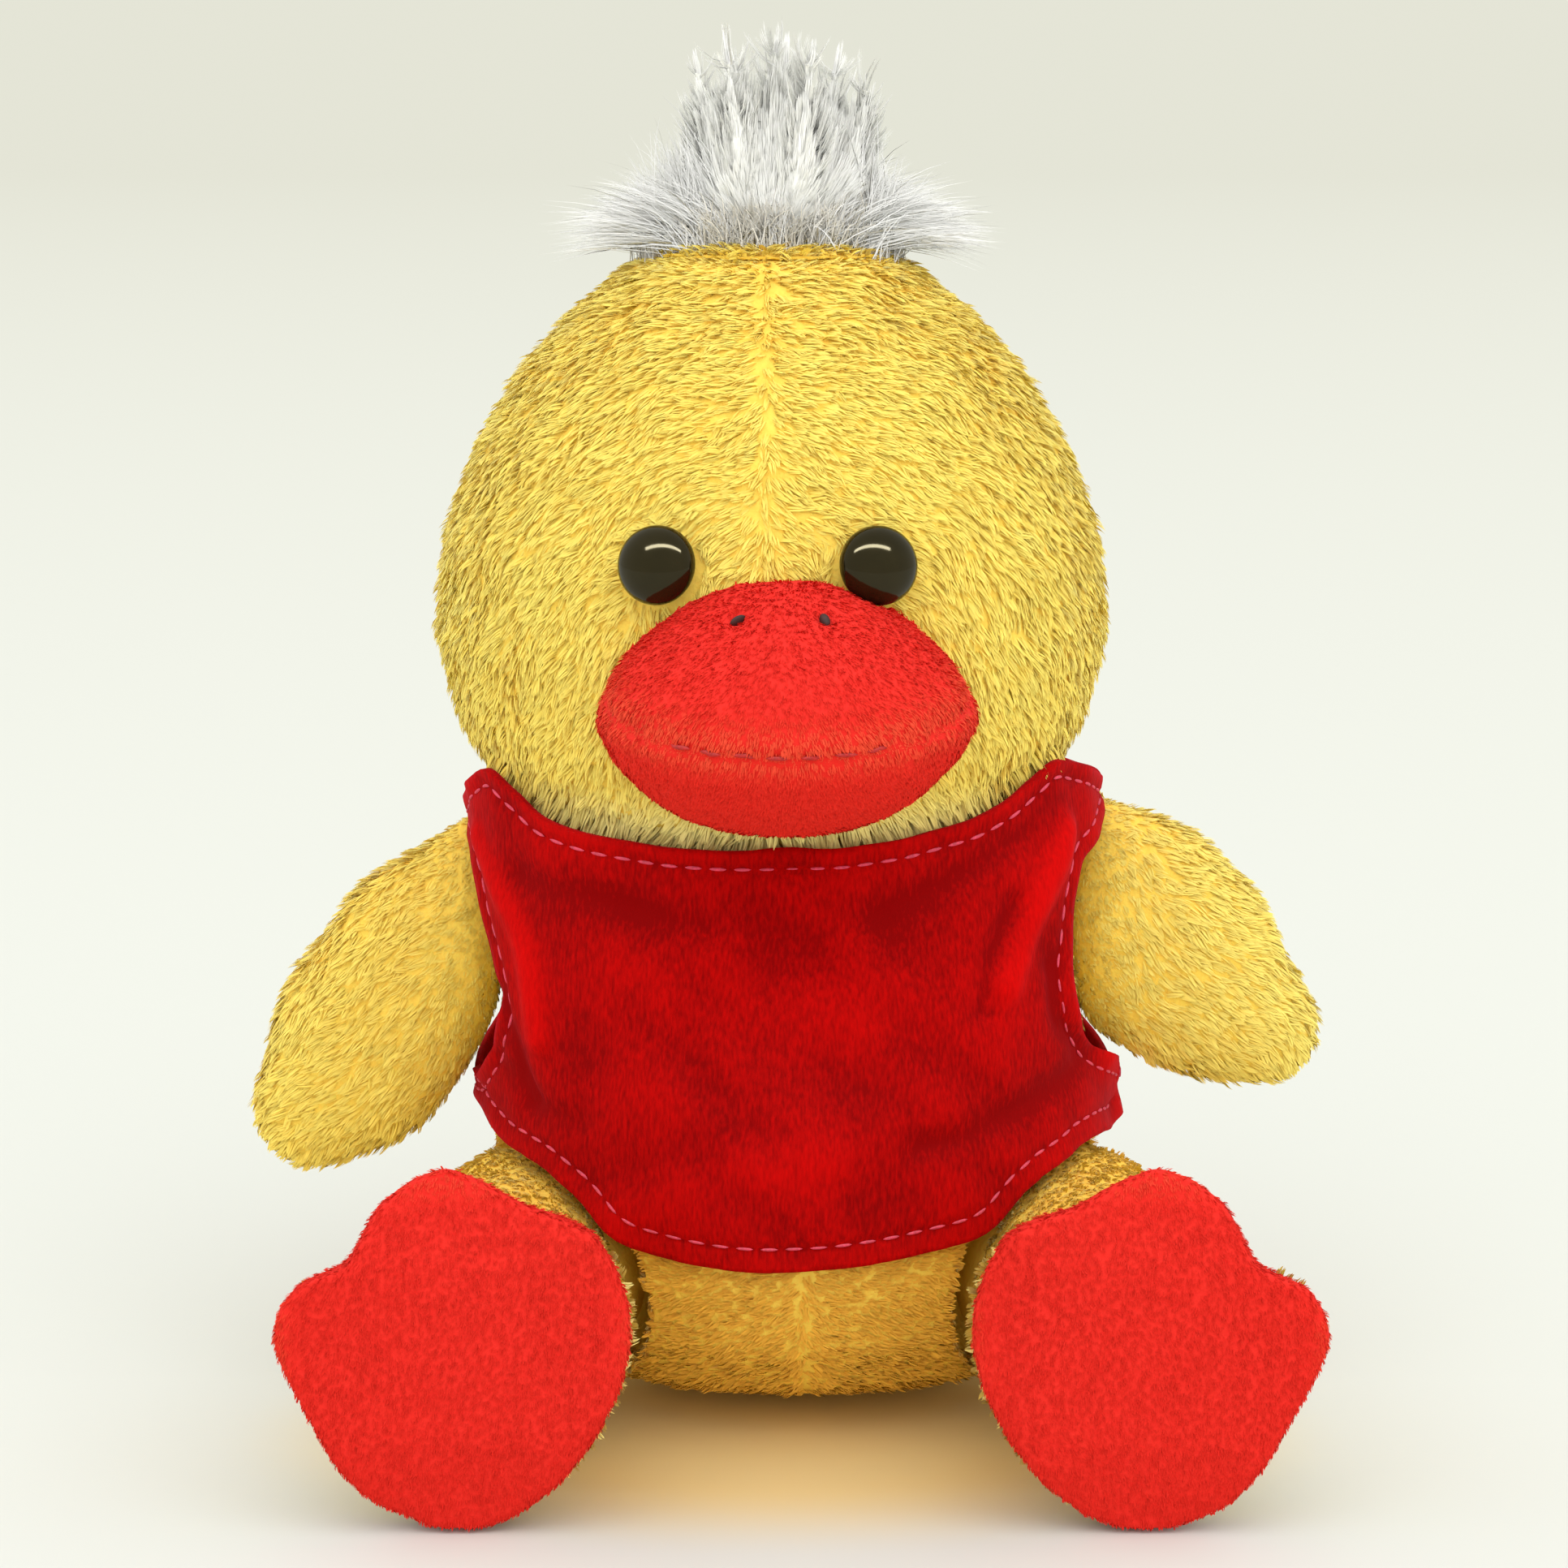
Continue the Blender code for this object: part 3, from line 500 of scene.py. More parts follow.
def ribbon_mesh(name, spines, sides, widths, soft, clump_tone, strand_tone, tone_and_painted_light=0.5):
    """Flat pointed strands along their spines, with root-to-tip and random tones and the level of painted
    shade and light kept at each vertex.
    """
    total, steps, _ = spines.shape
    per = 2 * (steps - 1) + 1
    verts = np.empty((total, per, 3))
    across = sides[:, None, :] * widths[:, :, None]
    verts[:, 0 : per - 1 : 2] = spines[:, :-1] - across
    verts[:, 1 : per - 1 : 2] = spines[:, :-1] + across
    verts[:, per - 1] = spines[:, -1]
    pattern = []
    for step in range(steps - 2):
        low = 2 * step
        pattern += [(low, low + 1, low + 3), (low, low + 3, low + 2)]
    pattern.append((per - 3, per - 2, per - 1))
    pattern = np.array(pattern)
    faces = (np.arange(total)[:, None, None] * per + pattern[None]).reshape(-1, 3)
    mesh = bpy.data.meshes.new(name)
    mesh.vertices.add(total * per)
    mesh.vertices.foreach_set("co", verts.astype(np.float32).ravel())
    mesh.loops.add(len(faces) * 3)
    mesh.loops.foreach_set("vertex_index", faces.astype(np.int32).ravel())
    mesh.polygons.add(len(faces))
    mesh.polygons.foreach_set("loop_start", np.arange(0, len(faces) * 3, 3, dtype=np.int32))
    mesh.polygons.foreach_set("use_smooth", np.ones(len(faces), dtype=bool))
    mesh.update()
    along = np.repeat(np.linspace(0.0, 1.0, steps), 2)[:per]
    tones = np.ones((total, per, 4), dtype=np.float32)
    tones[:, :, 0] = along[None]
    tones[:, :, 1] = clump_tone[:, None]
    tones[:, :, 2] = strand_tone[:, None]
    tones[:, :, 3] = np.reshape(tone_and_painted_light, (-1, 1))
    mark = mesh.attributes.new("pile", "FLOAT_COLOR", "POINT")
    mark.data.foreach_set("color", tones.ravel())
    mesh.normals_split_custom_set_from_vertices(np.repeat(soft, per, axis=0).astype(np.float32))
    return mesh


def bent(starts, middles, ends, steps):
    """Spines that run from starts to ends and bend towards middles, for every lock and strand."""
    spines = (
        starts[:, :, None] * ((1 - steps) ** 2)[None, None, :, None]
        + middles[:, :, None] * (2 * steps * (1 - steps))[None, None, :, None]
        + ends[:, :, None] * (steps**2)[None, None, :, None]
    )
    return spines.reshape(-1, len(steps), 3)


def turned_about(vectors, axes, turns):
    """Vectors turned about the axes that they are square to."""
    return vectors * np.cos(turns)[:, None] + np.cross(axes, vectors) * np.sin(turns)[:, None]


def comb(name, roots, normals, flow, kind, seed, blockers=(), lengths=None, tones=None, stand=None):
    """Strands of short pile that start at the roots, lie along the flow and draw together in tufts."""
    pile = bpy.context.scene.duck_pile
    tall = getattr(pile, f"{kind}_length")
    wide = getattr(pile, f"{kind}_width")
    lean = getattr(pile, f"{kind}_lean")
    each = getattr(pile, f"{kind}_strands")
    clump = getattr(pile, f"{kind}_clump")
    spread = getattr(pile, f"{kind}_spacing") * 0.62
    draw = np.random.default_rng(seed)
    total = len(roots)
    along = unit(flow - (flow * normals).sum(axis=1, keepdims=True) * normals)
    swing = clump * pile.swirl * (0.75 * wander(roots, 11 * MM, seed + 1) + 0.5 * draw.normal(size=total))
    along = turned_about(along, normals, swing)
    leans = lean * (1.0 if stand is None else stand) + 0.16 * draw.normal(size=total)
    talls = tall * draw.uniform(0.78, 1.12, total)
    if lengths is not None:
        talls = talls * lengths
    rise = np.cos(leans)[:, None] * normals
    reach = np.sin(leans)[:, None] * along
    for _ in range(4):
        tips = roots + talls[:, None] * (rise + reach)
        blocked = tips[:, 2] < 0.4 * MM
        for search, margin in blockers:
            for index in np.nonzero(~blocked)[0]:
                blocked[index] = inside(search, tips[index], margin)
        if not blocked.any():
            break
        talls[blocked] *= 0.62
    fine = talls > 0.16 * tall
    tones = np.full(total, 0.5) if tones is None else tones
    every = (roots, normals, along, talls, rise, reach, tones)
    roots, normals, along, talls, rise, reach, tones = (values[fine] for values in every)
    total = len(roots)
    across = np.cross(normals, along)
    round_turn = draw.uniform(0, 2 * math.pi, (total, each))
    out = spread * np.sqrt(draw.random((total, each)))
    offset = (out * np.cos(round_turn))[..., None] * along[:, None]
    offset = offset + (out * np.sin(round_turn))[..., None] * across[:, None]
    starts = roots[:, None] + offset
    own_tall = talls[:, None] * draw.uniform(0.82, 1.08, (total, each))
    tips = starts + own_tall[..., None] * (rise + reach)[:, None]
    together = (roots + talls[:, None] * (rise + reach) * 1.04)[:, None]
    tips = tips + (together - tips) * pile.gather * clump
    bend = starts + own_tall[..., None] * (0.62 * rise + 0.22 * reach)[:, None]
    starts = starts - 0.25 * MM * normals[:, None]
    spines = bent(starts, bend, tips, np.array((0.0, 0.42, 0.80, 1.0)))
    spines[:, :, 2] = np.maximum(spines[:, :, 2], 0.25 * MM)
    every_normal = np.repeat(normals, each, axis=0)
    heading = unit(spines[:, -1] - spines[:, 0])
    sides = unit(np.cross(heading, every_normal))
    twist = draw.normal(size=total * each) * 0.45
    sides = turned_about(sides, heading, twist)
    face = unit(np.cross(sides, heading))
    face *= np.sign((face * every_normal).sum(axis=1, keepdims=True) + 1e-9)
    tilt = np.repeat(draw.normal(size=(total, 3)), each, axis=0)
    raised = np.maximum(-every_normal[:, 2:], 0.0) * np.array((0.0, -0.25, 0.60))
    soft = unit(0.85 * every_normal + 0.22 * face + 0.14 * tilt + raised)
    widths = wide / 2 * np.array((1.0, 1.0, 0.78))[None] * draw.uniform(0.7, 1.2, (total * each, 1))
    clump_tone = np.repeat(draw.random(total), each)
    # Each root's level of painted shade and light, carried to its strands.
    tone_and_painted_light = np.repeat(tones, each)
    return ribbon_mesh(name, spines, sides, widths, soft, clump_tone, draw.random(total * each), tone_and_painted_light)


def add_pile(
    name, roots, normals, flow, kind, body, slot, seed,
    blockers=(), lengths=None, pieces=1, tones=None, stand=None,
):
    """Comb pile and add it as one or more pieces that ride on a body."""
    finish = plush_strands(kind)
    parts = np.array_split(np.argsort(np.arctan2(roots[:, 0], -roots[:, 1]), kind="stable"), pieces)
    for number, chosen in enumerate(parts):
        chosen.sort()
        label = name if pieces == 1 else f"{name}_{number + 1}"
        laid = (roots[chosen], normals[chosen], flow[chosen])
        given = (None if values is None else values[chosen] for values in (lengths, tones, stand))
        mesh = comb(label, *laid, kind, seed + number, blockers, *given)
        add_piece(label, mesh, finish, body, slot)


def outside_of(roots, *tests):
    """Which roots lie clear of some closed forms, each given with its margin."""
    clear = np.ones(len(roots), dtype=bool)
    for search, margin in tests:
        for index in np.nonzero(clear)[0]:
            clear[index] = not inside(search, roots[index], margin)
    return clear


# Finishes


def finish_base(name):
    """A new node material, its Principled shader and a helper that adds nodes."""
    made = bpy.data.materials.get(name)
    if made:
        return made, None, None
    made = bpy.data.materials.new(name)
    made.use_nodes = True
    nodes = made.node_tree.nodes
    links = made.node_tree.links

    def node(kind, values=None, sockets=None):
        added = nodes.new(kind)
        for key, value in (values or {}).items():
            setattr(added, key, value)
        for key, value in (sockets or {}).items():
            if isinstance(value, bpy.types.NodeSocket):
                links.new(value, added.inputs[key])
            else:
                added.inputs[key].default_value = value
        return added

    return made, nodes["Principled BSDF"], node


def ramp(node, value, stops):
    """A colour ramp with its stops given as place and colour."""
    made = node("ShaderNodeValToRGB", None, {0: value})
    band = made.color_ramp
    while len(band.elements) < len(stops):
        band.elements.new(0.5)
    for element, (place, tone) in zip(band.elements, stops):
        element.position = place
        element.color = (*tone[:3], 1.0)
    return made.outputs["Color"]


def link(made, source, shader, socket):
    """Join an output to a socket of the shader."""
    made.node_tree.links.new(source, shader.inputs[socket])


def noise(node, scale, detail):
    """Cloudy noise that stays with the object."""
    place = node("ShaderNodeTexCoord")
    cloud = {"Vector": place.outputs["Object"], "Scale": scale, "Detail": detail}
    return node("ShaderNodeTexNoise", None, cloud).outputs[0]


def math_of(node, operation, *values):
    """The result of one step of arithmetic."""
    return node("ShaderNodeMath", {"operation": operation}, dict(enumerate(values))).outputs[0]


def mixed(node, amount, first, second):
    """A blend of two colours."""
    return node("ShaderNodeMix", {"data_type": "RGBA"}, {0: amount, 6: first, 7: second}).outputs[2]


def bumped(made, shader, node, height, distance, strength):
    """Fine relief in the shading."""
    values = {"Height": height, "Distance": distance, "Strength": strength}
    link(made, node("ShaderNodeBump", None, values).outputs[0], shader, "Normal")


def shaded(tone, amount):
    """A colour made darker or lighter."""
    return tuple(min(1.0, part * amount) for part in tone[:3])


SHEEN = {"white": 1.0, "yellow": 0.8, "red": 0.2}


def plush_strands(kind):
    """Strands of plush, darker towards their roots as painted shade deep in the pile, each tuft in its own
    tone, some parts drawn toward a painted shade or painted light colour.
    """
    pile = bpy.context.scene.duck_pile
    made, shader, node = finish_base(f"{kind}_pile")
    if not shader:
        return made
    tones = (getattr(pile, f"{kind}_{part}") for part in ("tip", "middle", "root", "deep", "glow"))
    tip, middle, root, deep, glow = tones
    mark = node("ShaderNodeAttribute", {"attribute_name": "pile"})
    parts = node("ShaderNodeSeparateColor", None, {0: mark.outputs["Color"]})
    along, clump, strand = (parts.outputs[index] for index in range(3))
    # Painted shade: darker towards the roots, deep in the pile.
    body = ramp(node, along, ((0.0, root), (0.38, middle), (1.0, tip)))
    pale = ramp(node, along, ((0.0, shaded(root, 1.3)), (0.5, tip), (1.0, shaded(tip, 1.08))))
    tone = math_of(node, "MULTIPLY_ADD", clump, 0.62, noise(node, 55.0, 2.0))
    drop = node("ShaderNodeMath", {"operation": "SUBTRACT", "use_clamp": True}, {0: tone, 1: 0.42})
    blend = mixed(node, drop.outputs[0], body, pale)
    # Painted shade and light: a level below one half pulls the strand toward the deep colour, above toward
    # the glow colour.
    for end, shade in ((0.0, deep), (1.0, glow)):
        reach = {0: mark.outputs["Alpha"], 1: 0.5, 2: end, 3: 0.0, 4: 1.0}
        amount = node("ShaderNodeMapRange", None, reach).outputs[0]
        blend = mixed(node, amount, blend, (*shade, 1.0))
    fleck = math_of(node, "MULTIPLY_ADD", strand, 0.12, 0.92)
    toned = node("ShaderNodeVectorMath", {"operation": "SCALE"}, {0: blend, 3: fleck})
    link(made, toned.outputs[0], shader, "Base Color")
    link(made, math_of(node, "MULTIPLY_ADD", strand, -0.2, 0.85), shader, "Roughness")
    shader.inputs["Specular IOR Level"].default_value = 0.08
    shader.inputs["Sheen Weight"].default_value = SHEEN[kind]
    shader.inputs["Sheen Roughness"].default_value = 0.45
    shader.inputs["Sheen Tint"].default_value = (*glow, 1.0)
    return made


def plush_backing(kind):
    """The knitted backing under the pile."""
    pile = bpy.context.scene.duck_pile
    made, shader, node = finish_base(f"{kind}_backing")
    if not shader:
        return made
    middle, root = (getattr(pile, f"{kind}_{part}") for part in ("middle", "root"))
    grain = noise(node, 1400.0, 3.0)
    # The root colour carries the pile's painted shade.
    link(made, ramp(node, grain, ((0.3, root), (0.6, middle))), shader, "Base Color")
    bumped(made, shader, node, grain, 0.3 * MM, 0.6)
    shader.inputs["Roughness"].default_value = 0.9
    shader.inputs["Specular IOR Level"].default_value = 0.2
    return made


def eye_gloss():
    """Polished dark plastic with a clear coat and faint wear."""
    made, shader, node = finish_base("eye_gloss")
    if not shader:
        return made
    plastic = bpy.context.scene.duck_eyes.plastic
    cloud = noise(node, 260.0, 4.0)
    link(made, ramp(node, cloud, ((0.35, plastic), (0.8, shaded(plastic, 1.9)))), shader, "Base Color")
    link(made, math_of(node, "MULTIPLY_ADD", cloud, 0.10, 0.05), shader, "Roughness")
    shader.inputs["Specular IOR Level"].default_value = 0.32
    shader.inputs["Specular Tint"].default_value = (1.0, 0.88, 0.52, 1.0)
    shader.inputs["Coat Weight"].default_value = 0.06
    shader.inputs["Coat Roughness"].default_value = 0.03
    return made


def washer_plastic():
    """Moulded grey plastic."""
    made, shader, node = finish_base("washer_moulding")
    if not shader:
        return made
    grain = noise(node, 900.0, 2.0)
    link(made, ramp(node, grain, ((0.3, (0.50,) * 3), (0.7, (0.60,) * 3))), shader, "Base Color")
    shader.inputs["Roughness"].default_value = 0.45
    return made


def plain_thread(name, tone):
    """Twisted sewing thread."""
    made, shader, node = finish_base(name)
    if not shader:
        return made
    twist = noise(node, 2600.0, 2.0)
    link(made, ramp(node, twist, ((0.3, shaded(tone, 0.6)), (0.7, tone))), shader, "Base Color")
    bumped(made, shader, node, twist, 0.1 * MM, 0.5)
    shader.inputs["Roughness"].default_value = 0.7
    return made


def velour():
    """Red velour: fine upright ribs, soft mottling, painted shade in the folds' valleys and painted light on
    their ridges, and a pink sheen at shallow angles painted into the base colour.
    """
    vest = bpy.context.scene.duck_vest
    made, shader, node = finish_base("vest_velour")
    if not shader:
        return made
    place = node("ShaderNodeTexCoord")
    stretch = {"Vector": place.outputs["Object"], "Scale": (2600.0, 2600.0, 700.0)}
    ribs_at = node("ShaderNodeMapping", None, stretch)
    ribs = node("ShaderNodeTexNoise", None, {"Vector": ribs_at.outputs[0], "Scale": 1.0, "Detail": 2.0})
    both = math_of(node, "MULTIPLY_ADD", noise(node, 120.0, 3.0), 0.18, ribs.outputs[0])
    half = math_of(node, "MULTIPLY", both, 0.80)
    # Painted shade and light: the fold lift darkens valleys toward the dark colour and lightens ridges past
    # the red.
    depth = node("ShaderNodeAttribute", {"attribute_name": "fold"})
    fold_painted_shade = math_of(node, "MULTIPLY_ADD", depth.outputs["Fac"], 1.7, half)
    stops = ((0.28, vest.dark), (0.62, vest.red), (0.95, shaded(vest.red, 1.35)))
    base = ramp(node, fold_painted_shade, stops)
    # Painted sheen: pink mixed into the base colour at shallow angles, besides the shader's own sheen.
    edge = node("ShaderNodeLayerWeight", None, {"Blend": 0.22})
    sharp = math_of(node, "POWER", edge.outputs["Facing"], 2.6)
    painted_sheen = math_of(node, "MULTIPLY", sharp, 0.45)
    link(made, mixed(node, painted_sheen, base, (*vest.bloom, 1.0)), shader, "Base Color")
    bumped(made, shader, node, ribs.outputs[0], 0.15 * MM, 0.45)
    shader.inputs["Roughness"].default_value = 0.85
    shader.inputs["Specular IOR Level"].default_value = 0.04
    shader.inputs["Sheen Weight"].default_value = 0.12
    shader.inputs["Sheen Roughness"].default_value = 0.3
    shader.inputs["Sheen Tint"].default_value = (*vest.bloom, 1.0)
    return made


def nostril_painted_shade():
    """A dark finish that stands for the shade inside a nostril: painted shade."""
    made, shader, node = finish_base("nostril")
    if not shader:
        return made
    tone = bpy.context.scene.duck_bill.nostril_brown
    grain = noise(node, 1500.0, 2.0)
    link(made, ramp(node, grain, ((0.3, tone), (0.8, shaded(tone, 2.0)))), shader, "Base Color")
    shader.inputs["Roughness"].default_value = 0.8
    return made


def floor_paper():
    """Pale seamless paper that greys with distance as a painted fall-off of light, with a painted warm bounce
    round the duck.
    """
    stage = bpy.context.scene.duck_stage
    made, shader, node = finish_base("floor_paper")
    if not shader:
        return made
    place = node("ShaderNodeTexCoord")
    parts = node("ShaderNodeSeparateXYZ", None, {0: place.outputs["Object"]})
    # Painted fall-off of light: greyer from floor_near to floor_far with distance.
    span = {"From Min": 0.0, "From Max": 3.0, "To Min": 0.0, "To Max": 1.0}
    far = node("ShaderNodeMapRange", None, {0: parts.outputs["Y"], **span})
    even = math_of(node, "POWER", far.outputs[0], 0.55)
    paper = ramp(node, even, ((0.0, stage.floor_near), (1.0, stage.floor_far)))
    # Painted bounce light: a warm patch round the duck.
    centred = {"Vector": place.outputs["Object"], "Location": (0.0, 0.62, 0.0), "Scale": (18.0, 27.0, 0.0)}
    patch = node("ShaderNodeMapping", None, centred)
    away = node("ShaderNodeVectorMath", {"operation": "LENGTH"}, {0: patch.outputs[0]})
    fade = {0: away.outputs["Value"], 1: 1.25, 2: 0.55}
    near = node("ShaderNodeMapRange", {"interpolation_type": "SMOOTHSTEP"}, fade)
    painted_bounce_colour = mixed(node, near.outputs[0], paper, (*stage.floor_painted_bounce, 1.0))
    link(made, painted_bounce_colour, shader, "Base Color")
    shader.inputs["Roughness"].default_value = 1.0
    shader.inputs["Specular IOR Level"].default_value = 0.0
    return made


# Head


def eye_axis(side):
    """The middle of an eye's base and the direction that it looks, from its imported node."""
    points = points_of(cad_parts[f"eye_{side}"].data)
    middle = points.mean(axis=0)
    values, axes = np.linalg.eigh(np.cov((points - middle).T))
    gaps = [abs(values[(k + 1) % 3] - values[(k + 2) % 3]) for k in range(3)]
    axis = axes[:, int(np.argmin(gaps))]
    if axis[1] > 0:
        axis = -axis
    along = (points - middle) @ axis
    eye = bpy.context.scene.duck_eyes
    apex = middle + axis * along.max()
    return Vector(apex - axis * (eye.dome + eye.rim)), Vector(axis)


def around_eyes(points):
    """A push away from each eye, for the pile beside it."""
    push = np.zeros_like(points)
    eye = bpy.context.scene.duck_eyes
    for side in SIDES:
        base, axis = eye_axis(side)
        aside = points - np.array(base)
        aside -= (aside @ np.array(axis))[:, None] * np.array(axis)
        reach = np.linalg.norm(aside, axis=1)
        strength = 1.6 * np.exp(-np.maximum(reach - eye.radius, 0) / (1.6 * MM)) * (points[:, 1] < 0)
        push += unit(aside) * strength[:, None]
    return push


def head_flow(points):
    """Away from the parting on the forehead and crown, then down."""
    low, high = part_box("head_stuffing")
    tall = high[2] - low[2]
    parting = (low[0] + high[0]) / 2 - 0.6 * MM
    aside = points[:, 0] - parting
    near = np.exp(-((aside / (24 * MM)) ** 2))
    up = ease(low[2] + 0.45 * tall, low[2] + 0.80 * tall, points[:, 2])
    flow = np.zeros_like(points)
    flow[:, 0] = np.tanh(aside / (1.6 * MM)) * (0.30 + near * (0.25 + 1.25 * up))
    flow[:, 1] = 0.25 * np.tanh(points[:, 1] / (10 * MM)) * up
    flow[:, 2] = -1.0
    return flow


class DUCK_OT_head(bpy.types.Operator):
    """Build the stuffed head and its combed yellow pile."""

    bl_idname = "duck.head"
    bl_label = "Head"

    def execute(self, context):
        pile = context.scene.duck_pile
        skin = shape("head").copy()
        low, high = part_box("hair_patch")
        middle = (np.array(low) + np.array(high)) / 2
        points = points_of(skin)
        near = ease(22 * MM, 15 * MM, np.hypot(points[:, 0] - middle[0], points[:, 1] - middle[1]))
        points += normals_of(skin) * (1.15 * MM * near * (points[:, 2] > low[2] - 12 * MM))[:, None]
        move_points(skin, points)
        nodes = ("head_panel_left", "head_panel_right", "head_stuffing")
        head = add_piece("head_skin", skin, plush_backing("yellow"), "head", "yellow_plush", nodes)
        roots, normals = scattered(skin, pile.yellow_spacing, 11)
        clear = outside_of(roots, (tree("bill"), 0.2 * MM))
        from_crown = np.hypot(roots[:, 0] - middle[0], roots[:, 1] - middle[1])
        clear &= (from_crown > 0.42 * (high[0] - low[0])) | (roots[:, 2] < low[2] - 5 * MM)
        brow, brow_normals = scattered(shape("patch"), 0.75 * pile.yellow_spacing, 12)
        out = np.hypot((brow[:, 0] - middle[0]) / 14.0, (brow[:, 1] - middle[1]) / 7.0)
        rim = (out > 1 * MM) & (brow_normals[:, 2] > -0.2)
        roots = np.concatenate((roots, brow[rim]))
        normals = np.concatenate((normals, brow_normals[rim]))
        clear = np.concatenate((clear, np.ones(rim.sum(), dtype=bool)))
        clear &= roots[:, 2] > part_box("head_panel_left")[0][2] + 4 * MM
        for side in SIDES:
            base, axis = eye_axis(side)
            aside = roots - np.array(base)
            along = aside @ np.array(axis)
            aside -= along[:, None] * np.array(axis)
            near = np.linalg.norm(aside, axis=1) < context.scene.duck_eyes.radius - 0.1 * MM
            clear &= ~(near & (np.abs(along) < 6 * MM))
        roots, normals = roots[clear], normals[clear]
        flow = head_flow(roots) + around_eyes(roots)
        chin = ease(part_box("bill_lower")[0][2] + 6 * MM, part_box("bill_lower")[0][2] - 3 * MM, roots[:, 2])
        lengths = 1.0 - 0.25 * chin
        over = roots[:, 2] - neckline_height(roots)
        fringe = np.exp(-(((over - 0.9 * MM) / (1.3 * MM)) ** 2))
        lengths = np.where(over < -0.6 * MM, 0.40 * lengths, lengths + 0.80 * fringe)
        lengths *= np.where(roots[:, 2] > low[2] - 0.5 * MM, 0.6, 1.0)
        stand = 1.0 - 0.50 * fringe
        # Painted light: the chin's pile drawn toward the glow colour, where the bill shades it.
        tones = 0.5 + 0.45 * chin
        blockers = [(tree("bill"), 0.1 * MM)] + [(eye_tree(side), 0.1 * MM) for side in SIDES]
        laid = (roots, normals, flow)
        look = (blockers, lengths, 6, tones, stand)
        add_pile("head_pile", *laid, "yellow", "head", "yellow_plush", 20, *look)
        return {"FINISHED"}


def eye_profile():
    """The eye's outline above the cover, from its apex down, as radius and height pairs."""
    eye = bpy.context.scene.duck_eyes
    steps = 18
    line = []
    for step in range(steps + 1):
        turn = math.pi / 2 * step / steps
        line.append((eye.radius * math.sin(turn), eye.rim + eye.dome * math.cos(turn)))
    line += [(eye.radius, 0.55 * eye.rim), (eye.radius - 0.25 * eye.rim, 0.15 * eye.rim)]
    return line + [(eye.radius - eye.rim, 0.0)]


POST_RADIUS = 1.3 * MM
POST_DEPTH = 8.6 * MM


def eye_mesh(side):
    """One eye with its post, turned about its own axis."""
    eye = bpy.context.scene.duck_eyes
    base, axis = eye_axis(side)
    line = eye_profile()
    line += [(POST_RADIUS, 0.0), (POST_RADIUS, -POST_DEPTH + POST_RADIUS / 2), (POST_RADIUS / 2, -POST_DEPTH)]
    work = bmesh.new()
    rings = []
    for radius, height in line:
        if radius < 1e-7:
            rings.append([work.verts.new((0.0, 0.0, height))])
            continue
        ring = []
        for index in range(eye.segments):
            turn = 2 * math.pi * index / eye.segments
            ring.append(work.verts.new((radius * math.cos(turn), radius * math.sin(turn), height)))
        rings.append(ring)
    for upper, lower in zip(rings, rings[1:]):
        for index in range(eye.segments):
            after = (index + 1) % eye.segments
            corners = [upper[index % len(upper)], lower[index], lower[after], upper[after % len(upper)]]
            work.faces.new(list(dict.fromkeys(corners)))
    work.faces.new(rings[-1][::-1])
    bmesh.ops.recalc_face_normals(work, faces=work.faces)
    place = Matrix.Translation(base) @ axis.to_track_quat("Z", "Y").to_matrix().to_4x4()
    bmesh.ops.transform(work, matrix=place, verts=work.verts)
    return mesh_from(work, f"eye_{side}_dome")


def eye_tree(side):
    """The search tree of an eye."""
    key = f"eye_{side}"
    if key not in made_trees:
        made_trees[key] = tree_of(eye_mesh(side))
    return made_trees[key]


class DUCK_OT_eyes(bpy.types.Operator):
    """Build the glossy domed eyes and finish their washers."""

    bl_idname = "duck.eyes"
    bl_label = "Eyes"

    def execute(self, context):
        for side in SIDES:
            name = f"eye_{side}"
            add_piece(f"{name}_dome", eye_mesh(side), eye_gloss(), "head", "black_plastic", (name,))
            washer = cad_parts[f"eye_washer_{side}"]
            washer.material_slots[0].material = washer_plastic()
        return {"FINISHED"}


# Bill


def mouth_gap(points):
    """The height of each point above the mouth seam."""
    bill = bpy.context.scene.duck_bill
    start = -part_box("head_stuffing")[1][1]
    rise = (points[:, 2] - bill.mouth_height) * math.cos(bill.mouth_tilt)
    return rise - (points[:, 1] - start) * math.sin(bill.mouth_tilt)


def bill_surface(x, z):
    """Where a straight line from the front at this x and z meets the bill, and the normal there."""
    spot, normal, _, _ = tree("bill").ray_cast(Vector((x, -0.2, z)), Vector((0.0, 1.0, 0.0)))
    return spot, normal


# Where the stuffing plumps the bill: across and up, then the push across and up, in mm
BILL_PLUMP_MM = (
    (0.5, 106.5, 0.0, 1.3),
    (9.0, 104.5, 0.2, 0.7),
    (-9.0, 104.5, -0.2, 0.7),
    (22.0, 92.5, 1.4, 0.4),
    (-21.5, 92.5, -0.2, 0.0),
    (18.0, 99.0, 0.0, 0.0),
    (-18.0, 99.0, 0.0, 0.0),
    (17.0, 84.0, 0.0, 0.0),
    (-17.0, 84.0, 0.0, 0.0),
    (0.0, 78.0, 0.0, 0.0),
)


